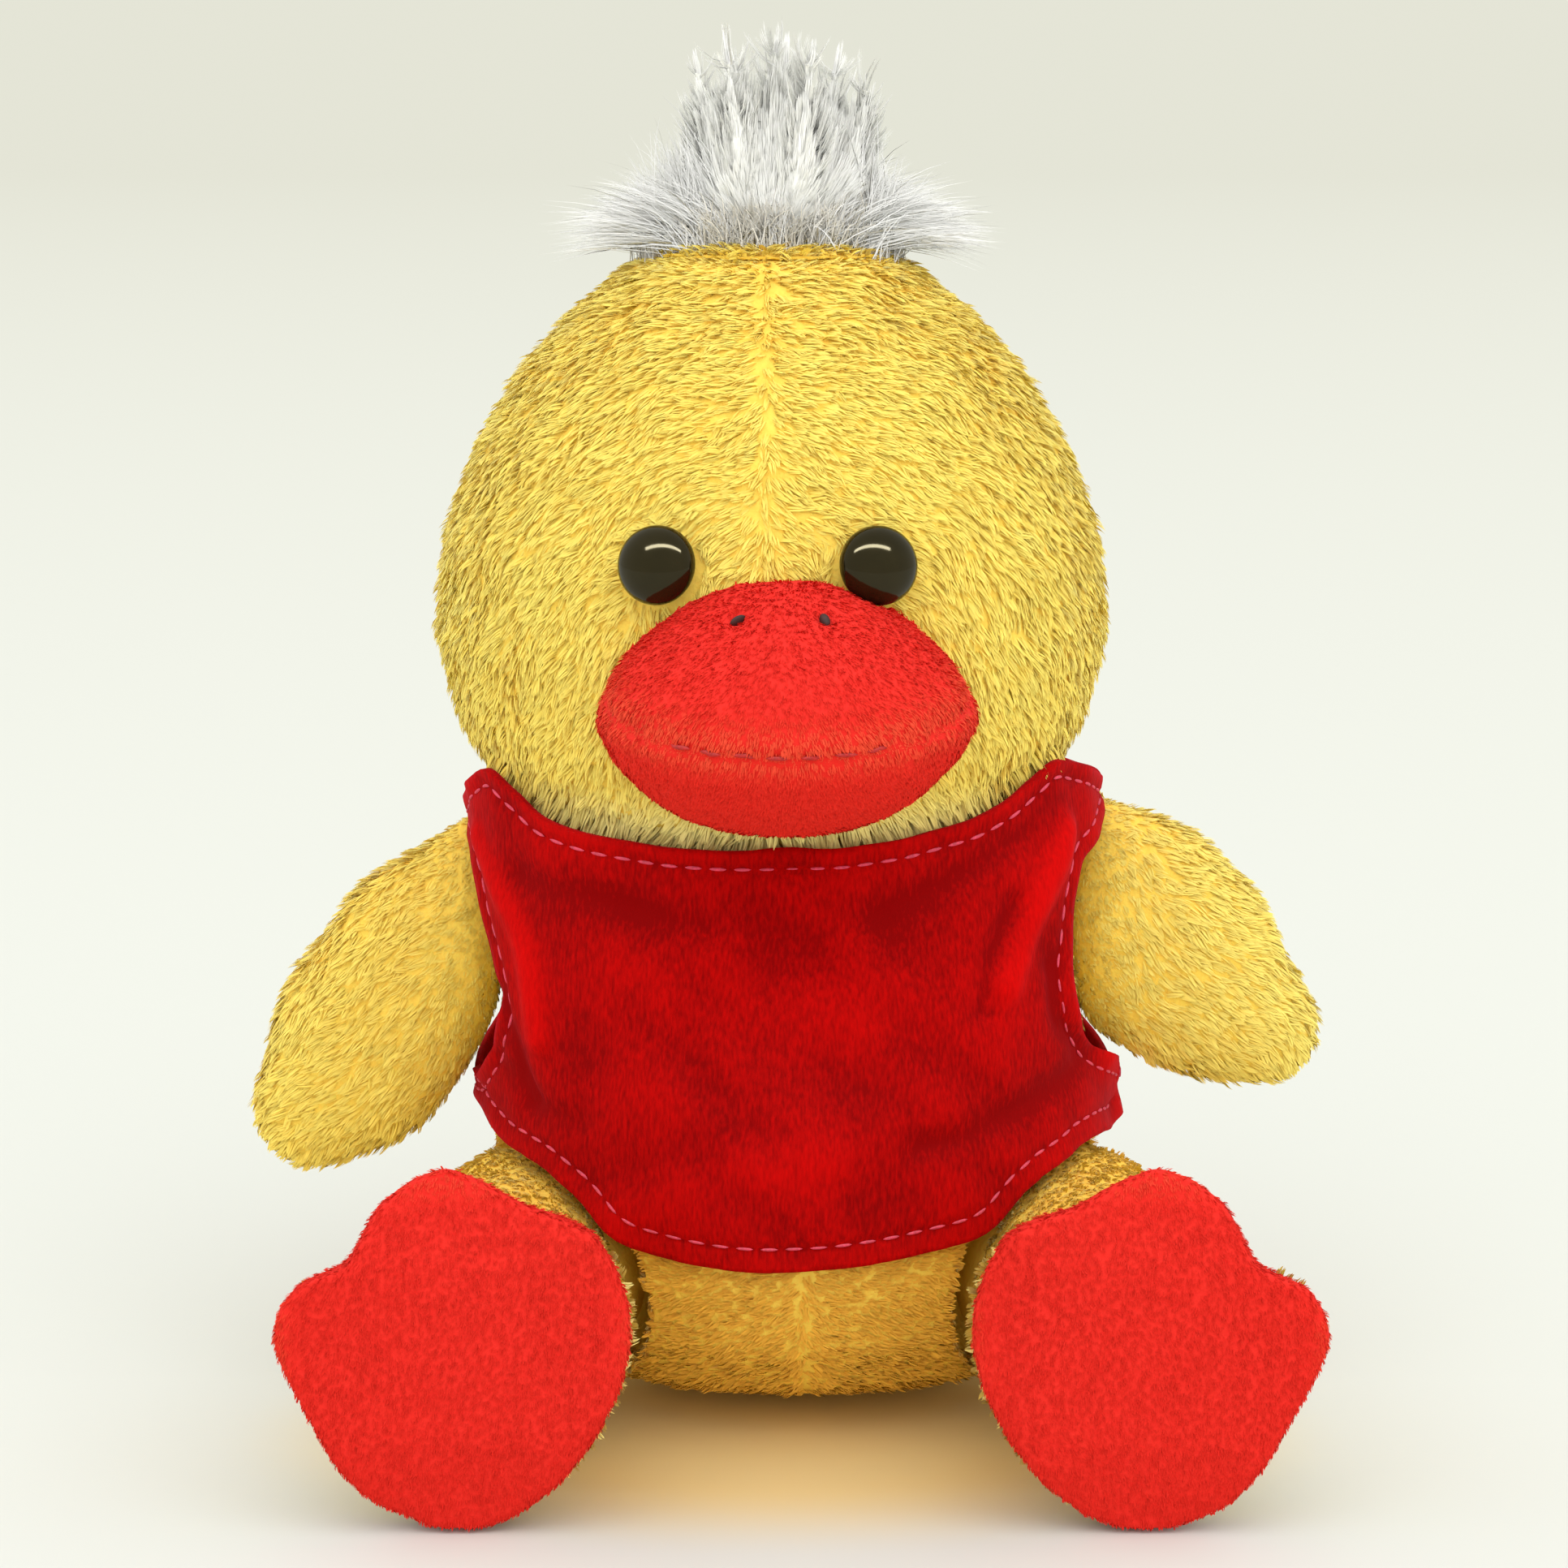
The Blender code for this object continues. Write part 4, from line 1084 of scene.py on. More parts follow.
class DUCK_OT_bill(bpy.types.Operator):
    """Build the padded bill with its mouth seam, nostrils and short red pile."""

    bl_idname = "duck.bill"
    bl_label = "Bill"

    def execute(self, context):
        bill = context.scene.duck_bill
        pile = context.scene.duck_pile
        skin = shape("bill").copy()
        points = points_of(skin)
        normals = normals_of(skin)
        gap = mouth_gap(points)
        groove = bill.groove_depth * np.exp(-((gap / bill.groove_width) ** 2))
        points = points - normals * groove[:, None]
        points = points + plumped(points, BILL_PLUMP_MM)
        for spot, normal, *_ in self.nostril_places(bill):
            away = np.linalg.norm(points - np.array(spot), axis=1)
            dimple = bill.nostril_depth * np.exp(-((away / bill.nostril_width) ** 2))
            points -= np.array(normal) * dimple[:, None]
        move_points(skin, points)
        nodes = ("bill_upper", "bill_lower", "bill_stuffing")
        piece = add_piece("bill_skin", skin, plush_backing("red"), "head", "red_plush", nodes)
        roots, normals = scattered(skin, pile.red_spacing, 31)
        clear = outside_of(roots, (tree("head"), 0.0))
        for spot, *_ in self.nostril_places(bill):
            clear &= np.linalg.norm(roots - np.array(spot), axis=1) > 0.55 * bill.nostril_length
        roots, normals = roots[clear], normals[clear]
        flow = np.zeros_like(roots)
        flow[:, 0] = np.tanh(roots[:, 0] / (12 * MM)) * 0.7
        flow[:, 1] = -0.25
        flow[:, 2] = -1.0
        over = mouth_gap(roots)
        above = np.exp(-((np.maximum(over - 1.6 * MM, 0) / (2.0 * MM)) ** 2))
        below = np.exp(-((over / (2.0 * MM)) ** 2))
        band = np.where(over > 0, above, below)
        lengths = 1.0 + 0.35 * band
        lengths = np.where(np.abs(over) < 0.5 * MM, 0.5, lengths)
        # Painted light: the longer pile along the mouth seam drawn toward the glow red.
        tones = 0.5 + 0.26 * band
        add_pile("bill_pile", roots, normals, flow, "red", "head", "red_plush", 32, (), lengths, 2, tones)
        self.mouth_stitches(bill)
        self.nostrils(bill)
        return {"FINISHED"}

    def mouth_stitches(self, bill):
        """Dark dashes in the mouth seam."""
        low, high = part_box("bill_lower")
        half = 0.30 * (high[0] - low[0])
        line = []
        for step in range(81):
            x = -half + 2 * half * step / 80
            for rise in range(60):
                z = bill.mouth_height - 12 * MM + rise * 0.25 * MM
                spot, normal = bill_surface(x, z)
                if spot and mouth_gap(np.array([spot]))[0] > 0:
                    line.append((np.array(spot), np.array(normal)))
                    break
        places = [(spot - 0.05 * MM * normal, normal) for spot, normal in line]
        mesh = dashes("mouth_stitches", places, bill.stitch_pitch, bill.stitch_length, 0.55 * MM)
        add_piece("mouth_stitches", mesh, plain_thread("mouth_thread", bill.stitch_red), "head", "red_plush")

    def nostril_places(self, bill):
        """Each nostril's place, direction, slant and width: a slit on the right, an oval on the left."""
        for side, sign in SIDES.items():
            across = sign * bill.nostril_spacing / 2 - 0.3 * MM
            spot, normal = bill_surface(across, bill.nostril_height)
            spot = spot + Vector(plumped(np.array([spot]), BILL_PLUMP_MM)[0])
            slant = math.radians(0 if side == "left" else 38)
            yield spot, normal, slant, bill.nostril_width * (1.0 if side == "left" else 0.6)

    def nostrils(self, bill):
        """A dark bead at the bottom of each nostril's dimple: painted shade inside the nostril."""
        for side, (spot, normal, slant, wide) in zip(SIDES, self.nostril_places(bill)):
            work = bmesh.new()
            bmesh.ops.create_uvsphere(work, u_segments=24, v_segments=14, radius=0.5)
            size = Matrix.Diagonal((wide, bill.nostril_length, bill.nostril_depth, 1.0))
            up = (Vector((0.0, 0.0, 1.0)) - normal.z * normal).normalized()
            turn = Matrix((up.cross(normal), up, normal)).transposed().to_4x4()
            lift = Matrix.Translation(spot - 0.45 * bill.nostril_depth * normal)
            roll = Matrix.Rotation(-slant, 4, "Z")
            bmesh.ops.transform(work, matrix=lift @ turn @ roll @ size, verts=work.verts)
            mesh = mesh_from(work, f"nostril_{side}")
            add_piece(f"nostril_{side}", mesh, nostril_painted_shade(), "head", "red_plush")


STITCH_SIDES = 8
STITCH_BEADS = 7


def dashes(name, places, pitch, long, thick):
    """Rounded stitches laid along a line of places, each given as point and normal."""
    spots = np.array([spot for spot, _ in places])
    normals = np.array([normal for _, normal in places])
    run = np.concatenate(([0.0], np.cumsum(np.linalg.norm(np.diff(spots, axis=0), axis=1))))
    total = max(1, int(run[-1] / pitch))
    work = bmesh.new()
    for number in range(total):
        start = number * pitch + (pitch - long) / 2
        rings = []
        for bead in range(STITCH_BEADS):
            at = start + long * bead / (STITCH_BEADS - 1)
            centre = np.array([np.interp(at, run, spots[:, axis]) for axis in range(3)])
            ahead = np.array([np.interp(at + 0.1 * MM, run, spots[:, axis]) for axis in range(3)])
            up = unit(np.array([np.interp(at, run, normals[:, axis]) for axis in range(3)]))
            forward = unit(ahead - centre + 1e-12)
            across = unit(np.cross(forward, up))
            shape_share = math.sqrt(max(0.0, 1 - (2 * bead / (STITCH_BEADS - 1) - 1) ** 2)) * 0.85 + 0.15
            ring = []
            for index in range(STITCH_SIDES):
                turn = 2 * math.pi * index / STITCH_SIDES
                out = across * math.cos(turn) + up * math.sin(turn) * 0.8
                ring.append(work.verts.new(centre + out * thick / 2 * shape_share))
            rings.append(ring)
        for lower, upper in zip(rings, rings[1:]):
            for index in range(STITCH_SIDES):
                after = (index + 1) % STITCH_SIDES
                work.faces.new((lower[index], lower[after], upper[after], upper[index]))
        work.faces.new(rings[0][::-1])
        work.faces.new(rings[-1])
    bmesh.ops.recalc_face_normals(work, faces=work.faces)
    return mesh_from(work, name)


# Tuft


class DUCK_OT_tuft(bpy.types.Operator):
    """Build the fur patch, the dense tuft with its combed fur, and the long locks round it."""

    bl_idname = "duck.tuft"
    bl_label = "Tuft"

    def execute(self, context):
        tuft = context.scene.duck_tuft
        pile = context.scene.duck_pile
        low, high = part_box("hair_patch")
        crown = np.array([(low[0] + high[0]) / 2, (low[1] + high[1]) / 2, high[2]])
        patch = shape("patch").copy()
        points = points_of(patch)
        points[:, 2] -= 0.5 * MM
        move_points(patch, points)
        add_piece("tuft_patch", patch, plush_backing("yellow"), "head", "white_fur", ("hair_patch",))
        core = shape("tuft").copy()
        points = points_of(core)
        upper = ease(crown[2], crown[2] + 9 * MM, points[:, 2])
        points[:, 0] = crown[0] + (points[:, 0] - crown[0]) * (1 - 0.24 * upper) + 1.2 * MM * upper
        points[:, 2] = crown[2] + (points[:, 2] - crown[2]) * 0.95
        move_points(core, points)
        add_piece("tuft_core", core, plush_backing("white"), "head", "white_fur", ("hair_tuft",))
        roots, normals = scattered(core, pile.white_spacing, 70)
        kept = normals[:, 2] > -0.5
        roots, normals = roots[kept], normals[kept]
        aside = roots - crown
        base = ease(9 * MM, 1 * MM, aside[:, 2])
        flow = np.zeros_like(roots)
        flow[:, 0] = aside[:, 0] / (11 * MM) * (0.25 + 1.1 * base)
        flow[:, 1] = 0.15 * np.sign(aside[:, 1])
        flow[:, 2] = 1.0 - 0.3 * base
        lengths = np.clip(0.85 + 0.25 * wander(roots, 7 * MM, 73), 0.55, 1.1)
        tones = 0.5 - 0.35 * ease(2.5 * MM, -1.0 * MM, aside[:, 2])
        facing = ease(0.45, 0.85, np.abs(normals[:, 1]))
        lengths *= 1.0 - 0.40 * facing
        stand = 1.0 - 0.65 * ease(0.5, 0.9, normals[:, 2]) + 0.22 * facing
        look = ((), lengths, 2, tones, stand)
        add_pile("tuft_fur", roots, normals, flow, "white", "head", "white_fur", 71, *look)
        roots, tips, rise = self.locks(tuft)
        mesh = self.hair(tuft, crown, roots, tips, rise)
        add_piece("tuft_locks", mesh, plush_strands("white"), "head", "white_fur")
        return {"FINISHED"}

    def locks(self, tuft):
        """Roots and tips of the locks: long ones that fall to each side, short ones round the rim."""
        draw = np.random.default_rng(74)
        amount = 2 * tuft.side_locks
        total = amount + tuft.rim_locks
        roots = np.zeros((total, 3))
        tips = np.zeros((total, 3))
        rise = np.full(total, 2.0 * MM)
        sign = np.where(np.arange(amount) % 2, 1.0, -1.0)
        fall = draw.random(amount)
        side = slice(0, amount)
        roots[side, 0] = sign * tuft.root_radius * draw.uniform(0.30, 0.92, amount)
        roots[side, 1] = tuft.root_depth * draw.uniform(-0.8, 0.8, amount)
        tips[side, 0] = sign * (tuft.start_reach + (tuft.side_reach - tuft.start_reach) * fall)
        tips[side, 1] = roots[side, 1] * 1.2
        tips[side, 2] = -3.0 * MM + 17.0 * MM * (1 - fall) * draw.uniform(0.35, 1.0, amount)
        tips[side, 2] += 4.5 * MM * fall * draw.random(amount)
        rim = slice(amount, total)
        around = draw.uniform(0, 2 * math.pi, tuft.rim_locks)
        out = np.stack((np.cos(around), np.sin(around)), axis=1)
        roots[rim, :2] = np.array((tuft.root_radius, tuft.root_depth)) * 0.92 * out
        tips[rim, :2] = roots[rim, :2] + draw.uniform(1.6, 3.8, (tuft.rim_locks, 1)) * MM * out
        tips[rim, 2] = draw.uniform(-0.6, 3.6, tuft.rim_locks) * MM
        rise[rim] = 1.4 * MM
        return roots, tips, rise

    def hair(self, tuft, crown, roots, tips, rise):
        """Strands that start at the locks' roots and draw towards their tips."""
        draw = np.random.default_rng(75)
        total, each = len(roots), tuft.strands
        spread = np.array((1.1, 1.1, 0.0)) * MM
        starts = roots[:, None] + draw.normal(size=(total, each, 3)) * spread
        ends = tips[:, None] + draw.normal(size=(total, each, 3)) * np.array((1.1, 1.1, 1.2)) * MM
        ends = starts + (ends - starts) * draw.uniform(0.60, 1.06, (total, each, 1))
        starts[..., 2] = -(starts[..., 0] ** 2 + starts[..., 1] ** 2) / (2 * 42 * MM) - 0.8 * MM
        middle = starts * 0.52 + ends * 0.48
        middle[..., 2] += 0.18 * np.abs(ends[..., 2] - starts[..., 2]) + rise[:, None]
        middle += draw.normal(size=(total, each, 3)) * 0.6 * MM
        spines = bent(starts, middle, ends, np.linspace(0.0, 1.0, 6)) + crown
        amount = total * each
        heading = unit(spines[:, -1] - spines[:, 0])
        sides = unit(np.cross(heading, draw.normal(size=(amount, 3)) + np.array((0.0, -1.6, 0.0))))
        soft = unit(np.array((0.0, -0.6, 0.9)) + 0.5 * heading + 0.12 * draw.normal(size=(amount, 3)))
        taper = np.array((1.0, 1.0, 0.9, 0.75, 0.5))
        widths = tuft.strand_width / 2 * taper[None] * draw.uniform(0.6, 1.25, (amount, 1))
        clump_tone = np.repeat(draw.random(total), each)
        tones = np.repeat(np.where(rise < 1.5 * MM, draw.uniform(0.22, 0.5, total), 0.5), each)
        return ribbon_mesh("tuft_locks", spines, sides, widths, soft, clump_tone, draw.random(amount), tones)


# Body, tail, wings, legs and feet


# Height up to which the pile is the bare belly's, short and combed from the middle seam
BELLY_TOP = 35 * MM


class DUCK_OT_body(bpy.types.Operator):
    """Build the stuffed body, and its pile where the vest leaves it bare."""

    bl_idname = "duck.body"
    bl_label = "Body"

    def execute(self, context):
        pile = context.scene.duck_pile
        skin = shape("body").copy()
        nodes = ("body_panel_left", "body_panel_right", "body_stuffing")
        piece = add_piece("body_skin", skin, plush_backing("yellow"), "torso", "yellow_plush", nodes)
        roots, normals = scattered(skin, pile.yellow_spacing, 41)
        clear = (normals[:, 2] > -0.93) & (roots[:, 2] > 0.6 * MM)
        clear &= ~under_vest(roots, 2.0 * MM)
        hull = tree("body_hull")
        for index in np.nonzero(clear)[0]:
            clear[index] = hull.find_nearest(Vector(roots[index]), 3.5 * MM)[0] is not None
        roots, normals = roots[clear], normals[clear]
        others = ["head", "tail", "leg_left", "leg_right", "foot_left", "foot_right"]
        clear = outside_of(roots, *((tree(name), 0.3 * MM) for name in others))
        roots, normals = roots[clear], normals[clear]
        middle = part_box("body_panel_left")[0][0]
        flow = np.zeros_like(roots)
        flow[:, 0] = np.tanh((roots[:, 0] - middle) / (3 * MM)) * np.where(roots[:, 2] < BELLY_TOP, 1.0, 0.2)
        flow[:, 2] = np.where(roots[:, 2] < BELLY_TOP, -0.15, -1.0)
        flow[:, 1] = np.where(roots[:, 1] > 0, 0.3, 0.0)
        blockers = [(tree(name), 0.1 * MM) for name in others]
        # Painted shade: the pile low on the front of the belly drawn toward the deep colour.
        tones = 0.5 - 0.42 * ease(42 * MM, 30 * MM, roots[:, 2]) * ease(14 * MM, -8 * MM, roots[:, 1])
        lengths = np.where(roots[:, 2] < BELLY_TOP, 0.60, 0.80)
        laid = (roots, normals, flow)
        add_pile("body_pile", *laid, "yellow", "torso", "yellow_plush", 42, blockers, lengths, 3, tones)
        tail_skin = shape("tail").copy()
        nodes = ("tail_upper", "tail_lower", "tail_stuffing")
        piece = add_piece("tail_skin", tail_skin, plush_backing("yellow"), "torso", "yellow_plush", nodes)
        roots, normals = scattered(tail_skin, pile.yellow_spacing, 43)
        clear = outside_of(roots, (tree("body"), 0.0))
        roots, normals = roots[clear], normals[clear]
        flow = np.zeros_like(roots) + np.array((0.0, 1.0, 0.5))
        laid = (roots, normals, flow)
        add_pile("tail_pile", *laid, "yellow", "torso", "yellow_plush", 44, [(tree("body"), 0.0)])
        return {"FINISHED"}


# Where the stuffing plumps the wings: across and up, then the push across and up, in mm
WING_PLUMP_MM = {
    "left": (
        (38.3, 71.9, 0.4, 3.8),
        (46.8, 66.8, 2.8, 4.2),
        (54.4, 60.1, 2.2, 3.0),
        (63.8, 51.4, 0.0, 0.0),
        (66.6, 46.7, -0.6, 0.0),
        (60.0, 38.4, 0.0, 0.0),
        (50.6, 40.0, 0.0, -1.0),
        (42.1, 42.8, -1.0, -0.8),
        (37.0, 66.0, -4.0, 0.8),
        (37.0, 58.0, -4.4, 0.0),
        (37.0, 49.0, -4.0, -0.6),
    ),
    "right": (
        (-40.0, 71.5, -1.2, 3.0),
        (-49.4, 62.0, -3.4, 2.4),
        (-57.0, 49.5, -3.4, 1.9),
        (-63.6, 38.0, -1.5, 0.0),
        (-64.9, 32.3, 0.0, 0.0),
        (-56.0, 29.1, 0.0, -1.5),
        (-47.5, 35.2, 1.5, -2.1),
        (-40.0, 41.9, 0.8, -1.2),
        (-36.2, 51.4, 2.6, -0.4),
        (-36.2, 60.0, 3.6, 0.0),
        (-36.6, 67.0, 3.2, 0.6),
    ),
}


def plumped(points, table):
    """How far a stuffed limb's points move, as seen from the front, under the pushes of a table."""
    total = np.zeros_like(points)
    weight = np.full(len(points), 0.12)
    for across, up, push_across, push_up in table:
        away = np.hypot(points[:, 0] - across * MM, points[:, 2] - up * MM)
        near = np.exp(-((away / (6.5 * MM)) ** 2))
        total += near[:, None] * np.array((push_across, 0.0, push_up)) * MM
        weight += near
    return total / weight[:, None]


# Painted light and shade: the left wing's pile a little toward the glow colour, the right wing's a little
# toward the deep colour, as the light falls.
WING_PAINTED_LIGHT = {"left": 0.56, "right": 0.46}


class DUCK_OT_wings(bpy.types.Operator):
    """Build the stuffed wings, their pile combed from root to tip."""

    bl_idname = "duck.wings"
    bl_label = "Wings"

    def execute(self, context):
        pile = context.scene.duck_pile
        for number, (side, sign) in enumerate(SIDES.items()):
            name = f"wing_{side}"
            skin = shape(name).copy()
            points = points_of(skin)
            normals = normals_of(skin)
            seam = np.exp(-((points[:, 1] / (0.9 * MM)) ** 2))
            points = points - normals * (0.5 * MM * seam)[:, None] + plumped(points, WING_PLUMP_MM[side])
            move_points(skin, points)
            nodes = (f"{name}_front", f"{name}_back", f"{name}_stuffing")
            piece = add_piece(f"{name}_skin", skin, plush_backing("yellow"), name, "yellow_plush", nodes)
            roots, normals = scattered(skin, pile.yellow_spacing, 51 + number)
            clear = outside_of(roots, (tree("body"), 0.2 * MM))
            roots, normals = roots[clear], normals[clear]
            centre = points.mean(axis=0)
            far = points[np.argsort(sign * points[:, 0])[-200:]].mean(axis=0)
            heading = unit(far - centre)
            flow = np.zeros_like(roots) + heading
            flow[:, 2] -= 0.12
            root_x = np.abs(roots[:, 0]) - abs(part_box(nodes[0])[0 if sign > 0 else 1][0])
            lengths = 0.35 + 0.65 * ease(1 * MM, 11 * MM, root_x)
            blockers = [(tree("body"), 0.1 * MM)]
            tones = np.full(len(roots), WING_PAINTED_LIGHT[side])
            laid = (roots, normals, flow)
            look = (blockers, lengths, 1, tones)
            add_pile(f"{name}_pile", *laid, "yellow", name, "yellow_plush", 53 + number, *look)
        return {"FINISHED"}


# Where the stuffing plumps a sole: outward from the middle and up, then the push outward and up, in mm
SOLE_PLUMP_MM = (
    (47.9, 9.9, 1.3, -0.7),
    (53.5, 16.0, 0.7, -0.3),
    (56.5, 24.5, 0.4, 0.0),
    (48.2, 32.1, 0.2, 0.9),
    (38.8, 42.4, -0.4, 0.8),
    (24.0, 37.0, -0.6, 0.6),
    (20.0, 27.0, 0.0, 0.0),
    (27.0, 8.0, 0.0, 0.0),
    (38.0, 2.0, 0.0, 0.0),
)


class DUCK_OT_legs(bpy.types.Operator):
    """Build the stuffed legs and the feet with their red soles."""

    bl_idname = "duck.legs"
    bl_label = "Legs and feet"

    def execute(self, context):
        for number, (side, sign) in enumerate(SIDES.items()):
            self.leg(side, sign, 60 + 10 * number)
            self.foot(side, sign, 80 + 10 * number)
        return {"FINISHED"}

    def leg(self, side, sign, seed):
        """A tapered leg whose pile runs forward and outward."""
        pile = bpy.context.scene.duck_pile
        name = f"leg_{side}"
        skin = shape(name).copy()
        nodes = (name, f"{name}_stuffing")
        piece = add_piece(f"{name}_skin", skin, plush_backing("yellow"), name, "yellow_plush", nodes)
        roots, normals = scattered(skin, pile.yellow_spacing, seed)
        clear = outside_of(roots, (tree("body_hull"), 0.0), (tree(f"foot_{side}"), 0.0))
        clear &= roots[:, 2] > 0.8 * MM
        roots, normals = roots[clear], normals[clear]
        flow = np.zeros_like(roots) + np.array((0.45 * sign, -1.0, -0.1))
        blockers = [(tree("body"), 0.1 * MM), (tree(f"foot_{side}"), 0.0), (tree(f"sole_{side}"), 0.0)]
        lengths = np.full(len(roots), 0.55)
        # Painted shade: the legs' pile drawn toward the deep colour.
        tones = np.full(len(roots), 0.36)
        laid = (roots, normals, flow)
        look = (blockers, lengths, 1, tones)
        add_pile(f"{name}_pile", *laid, "yellow", name, "yellow_plush", seed + 1, *look)

    def foot(self, side, sign, seed):
        """A plump foot: yellow plush behind and round the rim, a red sole in front."""
        pile = bpy.context.scene.duck_pile
        body = f"leg_{side}"
        upper = shape(f"foot_{side}").copy()
        points = points_of(upper)
        back = np.maximum(points[:, 1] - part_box(f"foot_{side}_sole")[1][1], 0.0)
        heart = points.mean(axis=0)
        out = points - heart
        out[:, 1] = 0.0
        rim = ease(4.0 * MM, 1.0 * MM, back) * ease(0.9, 0.4, unit(out)[:, 2])
        points += unit(out) * (0.9 * MM * rim - 0.22 * back)[:, None]
        points[:, 2] = np.maximum(points[:, 2], 0.6 * MM)
        move_points(upper, points)
        nodes = (f"foot_{side}_upper", f"foot_{side}_stuffing")
        piece = add_piece(f"foot_{side}_skin", upper, plush_backing("yellow"), body, "yellow_plush", nodes)
        low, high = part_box(f"foot_{side}_sole")
        centre = np.array([(low[0] + high[0]) / 2, 0.0, (low[2] + high[2]) / 2])
        roots, normals = scattered(upper, pile.yellow_spacing, seed)
        clear = outside_of(roots, (tree(f"sole_{side}"), 0.0), (tree(f"leg_{side}"), 0.0))
        clear &= roots[:, 2] > 0.8 * MM
        roots, normals = roots[clear], normals[clear]
        out = roots - centre
        out[:, 1] = 0.0
        flow = unit(out) * 0.25 + np.array((0.0, -0.9, 0.0))
        blockers = [(tree(f"sole_{side}"), 0.0), (tree(f"leg_{side}"), 0.0)]
        rim = ease(high[1] + 3.5 * MM, high[1] + 1.0 * MM, roots[:, 1])
        lengths = 0.55 + 0.45 * rim
        # Painted light: the pile round the foot's rim drawn toward the glow colour.
        tones = 0.5 + 0.35 * rim
        stand = 1.0 - 0.55 * rim
        laid = (roots, normals, flow)
        look = (blockers, lengths, 1, tones, stand)
        add_pile(f"foot_{side}_pile", *laid, "yellow", body, "yellow_plush", seed + 1, *look)
        sole = shape(f"sole_{side}").copy()
        points = points_of(sole)
        inward = np.minimum(points[:, 0] - low[0], high[0] - points[:, 0])
        inward = np.minimum(inward, np.minimum(points[:, 2] - low[2], high[2] - points[:, 2]))
        puff = 1.8 * MM * ease(0.0, 13 * MM, inward)
        front = ease((low[1] + high[1]) / 2, low[1] + 0.8 * MM, points[:, 1])
        points[:, 1] -= puff * front
        out = (points - centre) * np.array((1.0, 0.0, 1.0))
        toward = unit(out) @ np.array((0.35 * sign, 0.0, 0.94))
        reach = np.linalg.norm(out, axis=1) / (high[2] - low[2]) * 2
        points += unit(out) * (1.3 * MM * ease(0.1, 0.8, toward) * np.clip(reach, 0, 1) ** 2)[:, None]
        points += plumped(points * np.array((sign, 1.0, 1.0)), SOLE_PLUMP_MM) * np.array((sign, 1.0, 1.0))
        move_points(sole, points)
        sole_nodes = (f"foot_{side}_sole",)
        piece = add_piece(f"sole_{side}_skin", sole, plush_backing("red"), body, "red_plush", sole_nodes)
        roots, normals = scattered(sole, pile.red_spacing, seed + 2)
        clear = (normals[:, 1] < 0.3) & (roots[:, 2] > 0.6 * MM)
        roots, normals = roots[clear], normals[clear]
        flow = np.zeros_like(roots) + np.array((0.15 * sign, 0.0, -1.0))
        inward = np.minimum(roots[:, 0] - low[0], high[0] - roots[:, 0])
        inward = np.minimum(inward, high[2] - roots[:, 2])
        # Painted rim light: the pile toward the sole's edges drawn toward the glow red; its middle a little
        # toward the deep red.
        tones = 0.38 + 0.27 * ease(5 * MM, -1 * MM, inward)
        name = f"sole_{side}_pile"
        add_pile(name, roots, normals, flow, "red", body, "red_plush", seed + 3, (), None, 1, tones)


# Vest


# Lines of the vest's front as seen from the front: across from the middle and up from the floor, in mm
FRONT_NECK_MM = (
    (-39.0, 74.4),
    (-37.0, 78.6),
    (-34.8, 81.0),
    (-31.6, 79.0),
    (-27.1, 76.3),
    (-16.8, 74.4),
    (-5.9, 73.8),
    (8.7, 74.2),
    (19.6, 76.0),
    (24.7, 77.8),
    (28.9, 80.4),
    (31.8, 82.2),
    (34.6, 81.0),
    (38.9, 77.4),
)
FRONT_HEM_MM = (
    (-36.5, 37.2),
    (-33.0, 35.2),
    (-27.0, 31.2),
    (-19.0, 27.0),
    (-6.0, 24.8),
    (6.0, 25.1),
    (18.5, 26.7),
    (29.0, 29.0),
    (37.0, 32.4),
    (40.5, 34.0),
)
LEFT_ARM_MM = (
    (38.6, 73.0), (36.4, 70.4), (34.8, 68.0), (33.9, 60.4), (34.2, 52.6), (37.1, 46.0), (40.8, 41.4),
)
RIGHT_ARM_MM = (
    (-38.4, 70.6), (-37.0, 68.0), (-35.6, 62.0), (-34.0, 56.0), (-33.8, 51.0), (-35.0, 45.4), (-36.8, 41.6),
)
SHOULDER_MM = {"left": (73.0, 76.8), "right": (70.6, 74.0)}
UNDERARM_MM = {"left": (34.4, 40.6), "right": (37.0, 40.6)}
BACK_NECK_DEG = ((90, 0.0), (120, 0.8), (150, 1.2), (180, 1.2), (210, 1.2), (240, 1.2), (270, 0.0))
BACK_HEM_DEG = ((90, 0.0), (120, -2.4), (150, -4.4), (180, -5.0), (210, -4.4), (240, -2.4), (270, 0.0))
BACK_ARM_DEG = 58.0
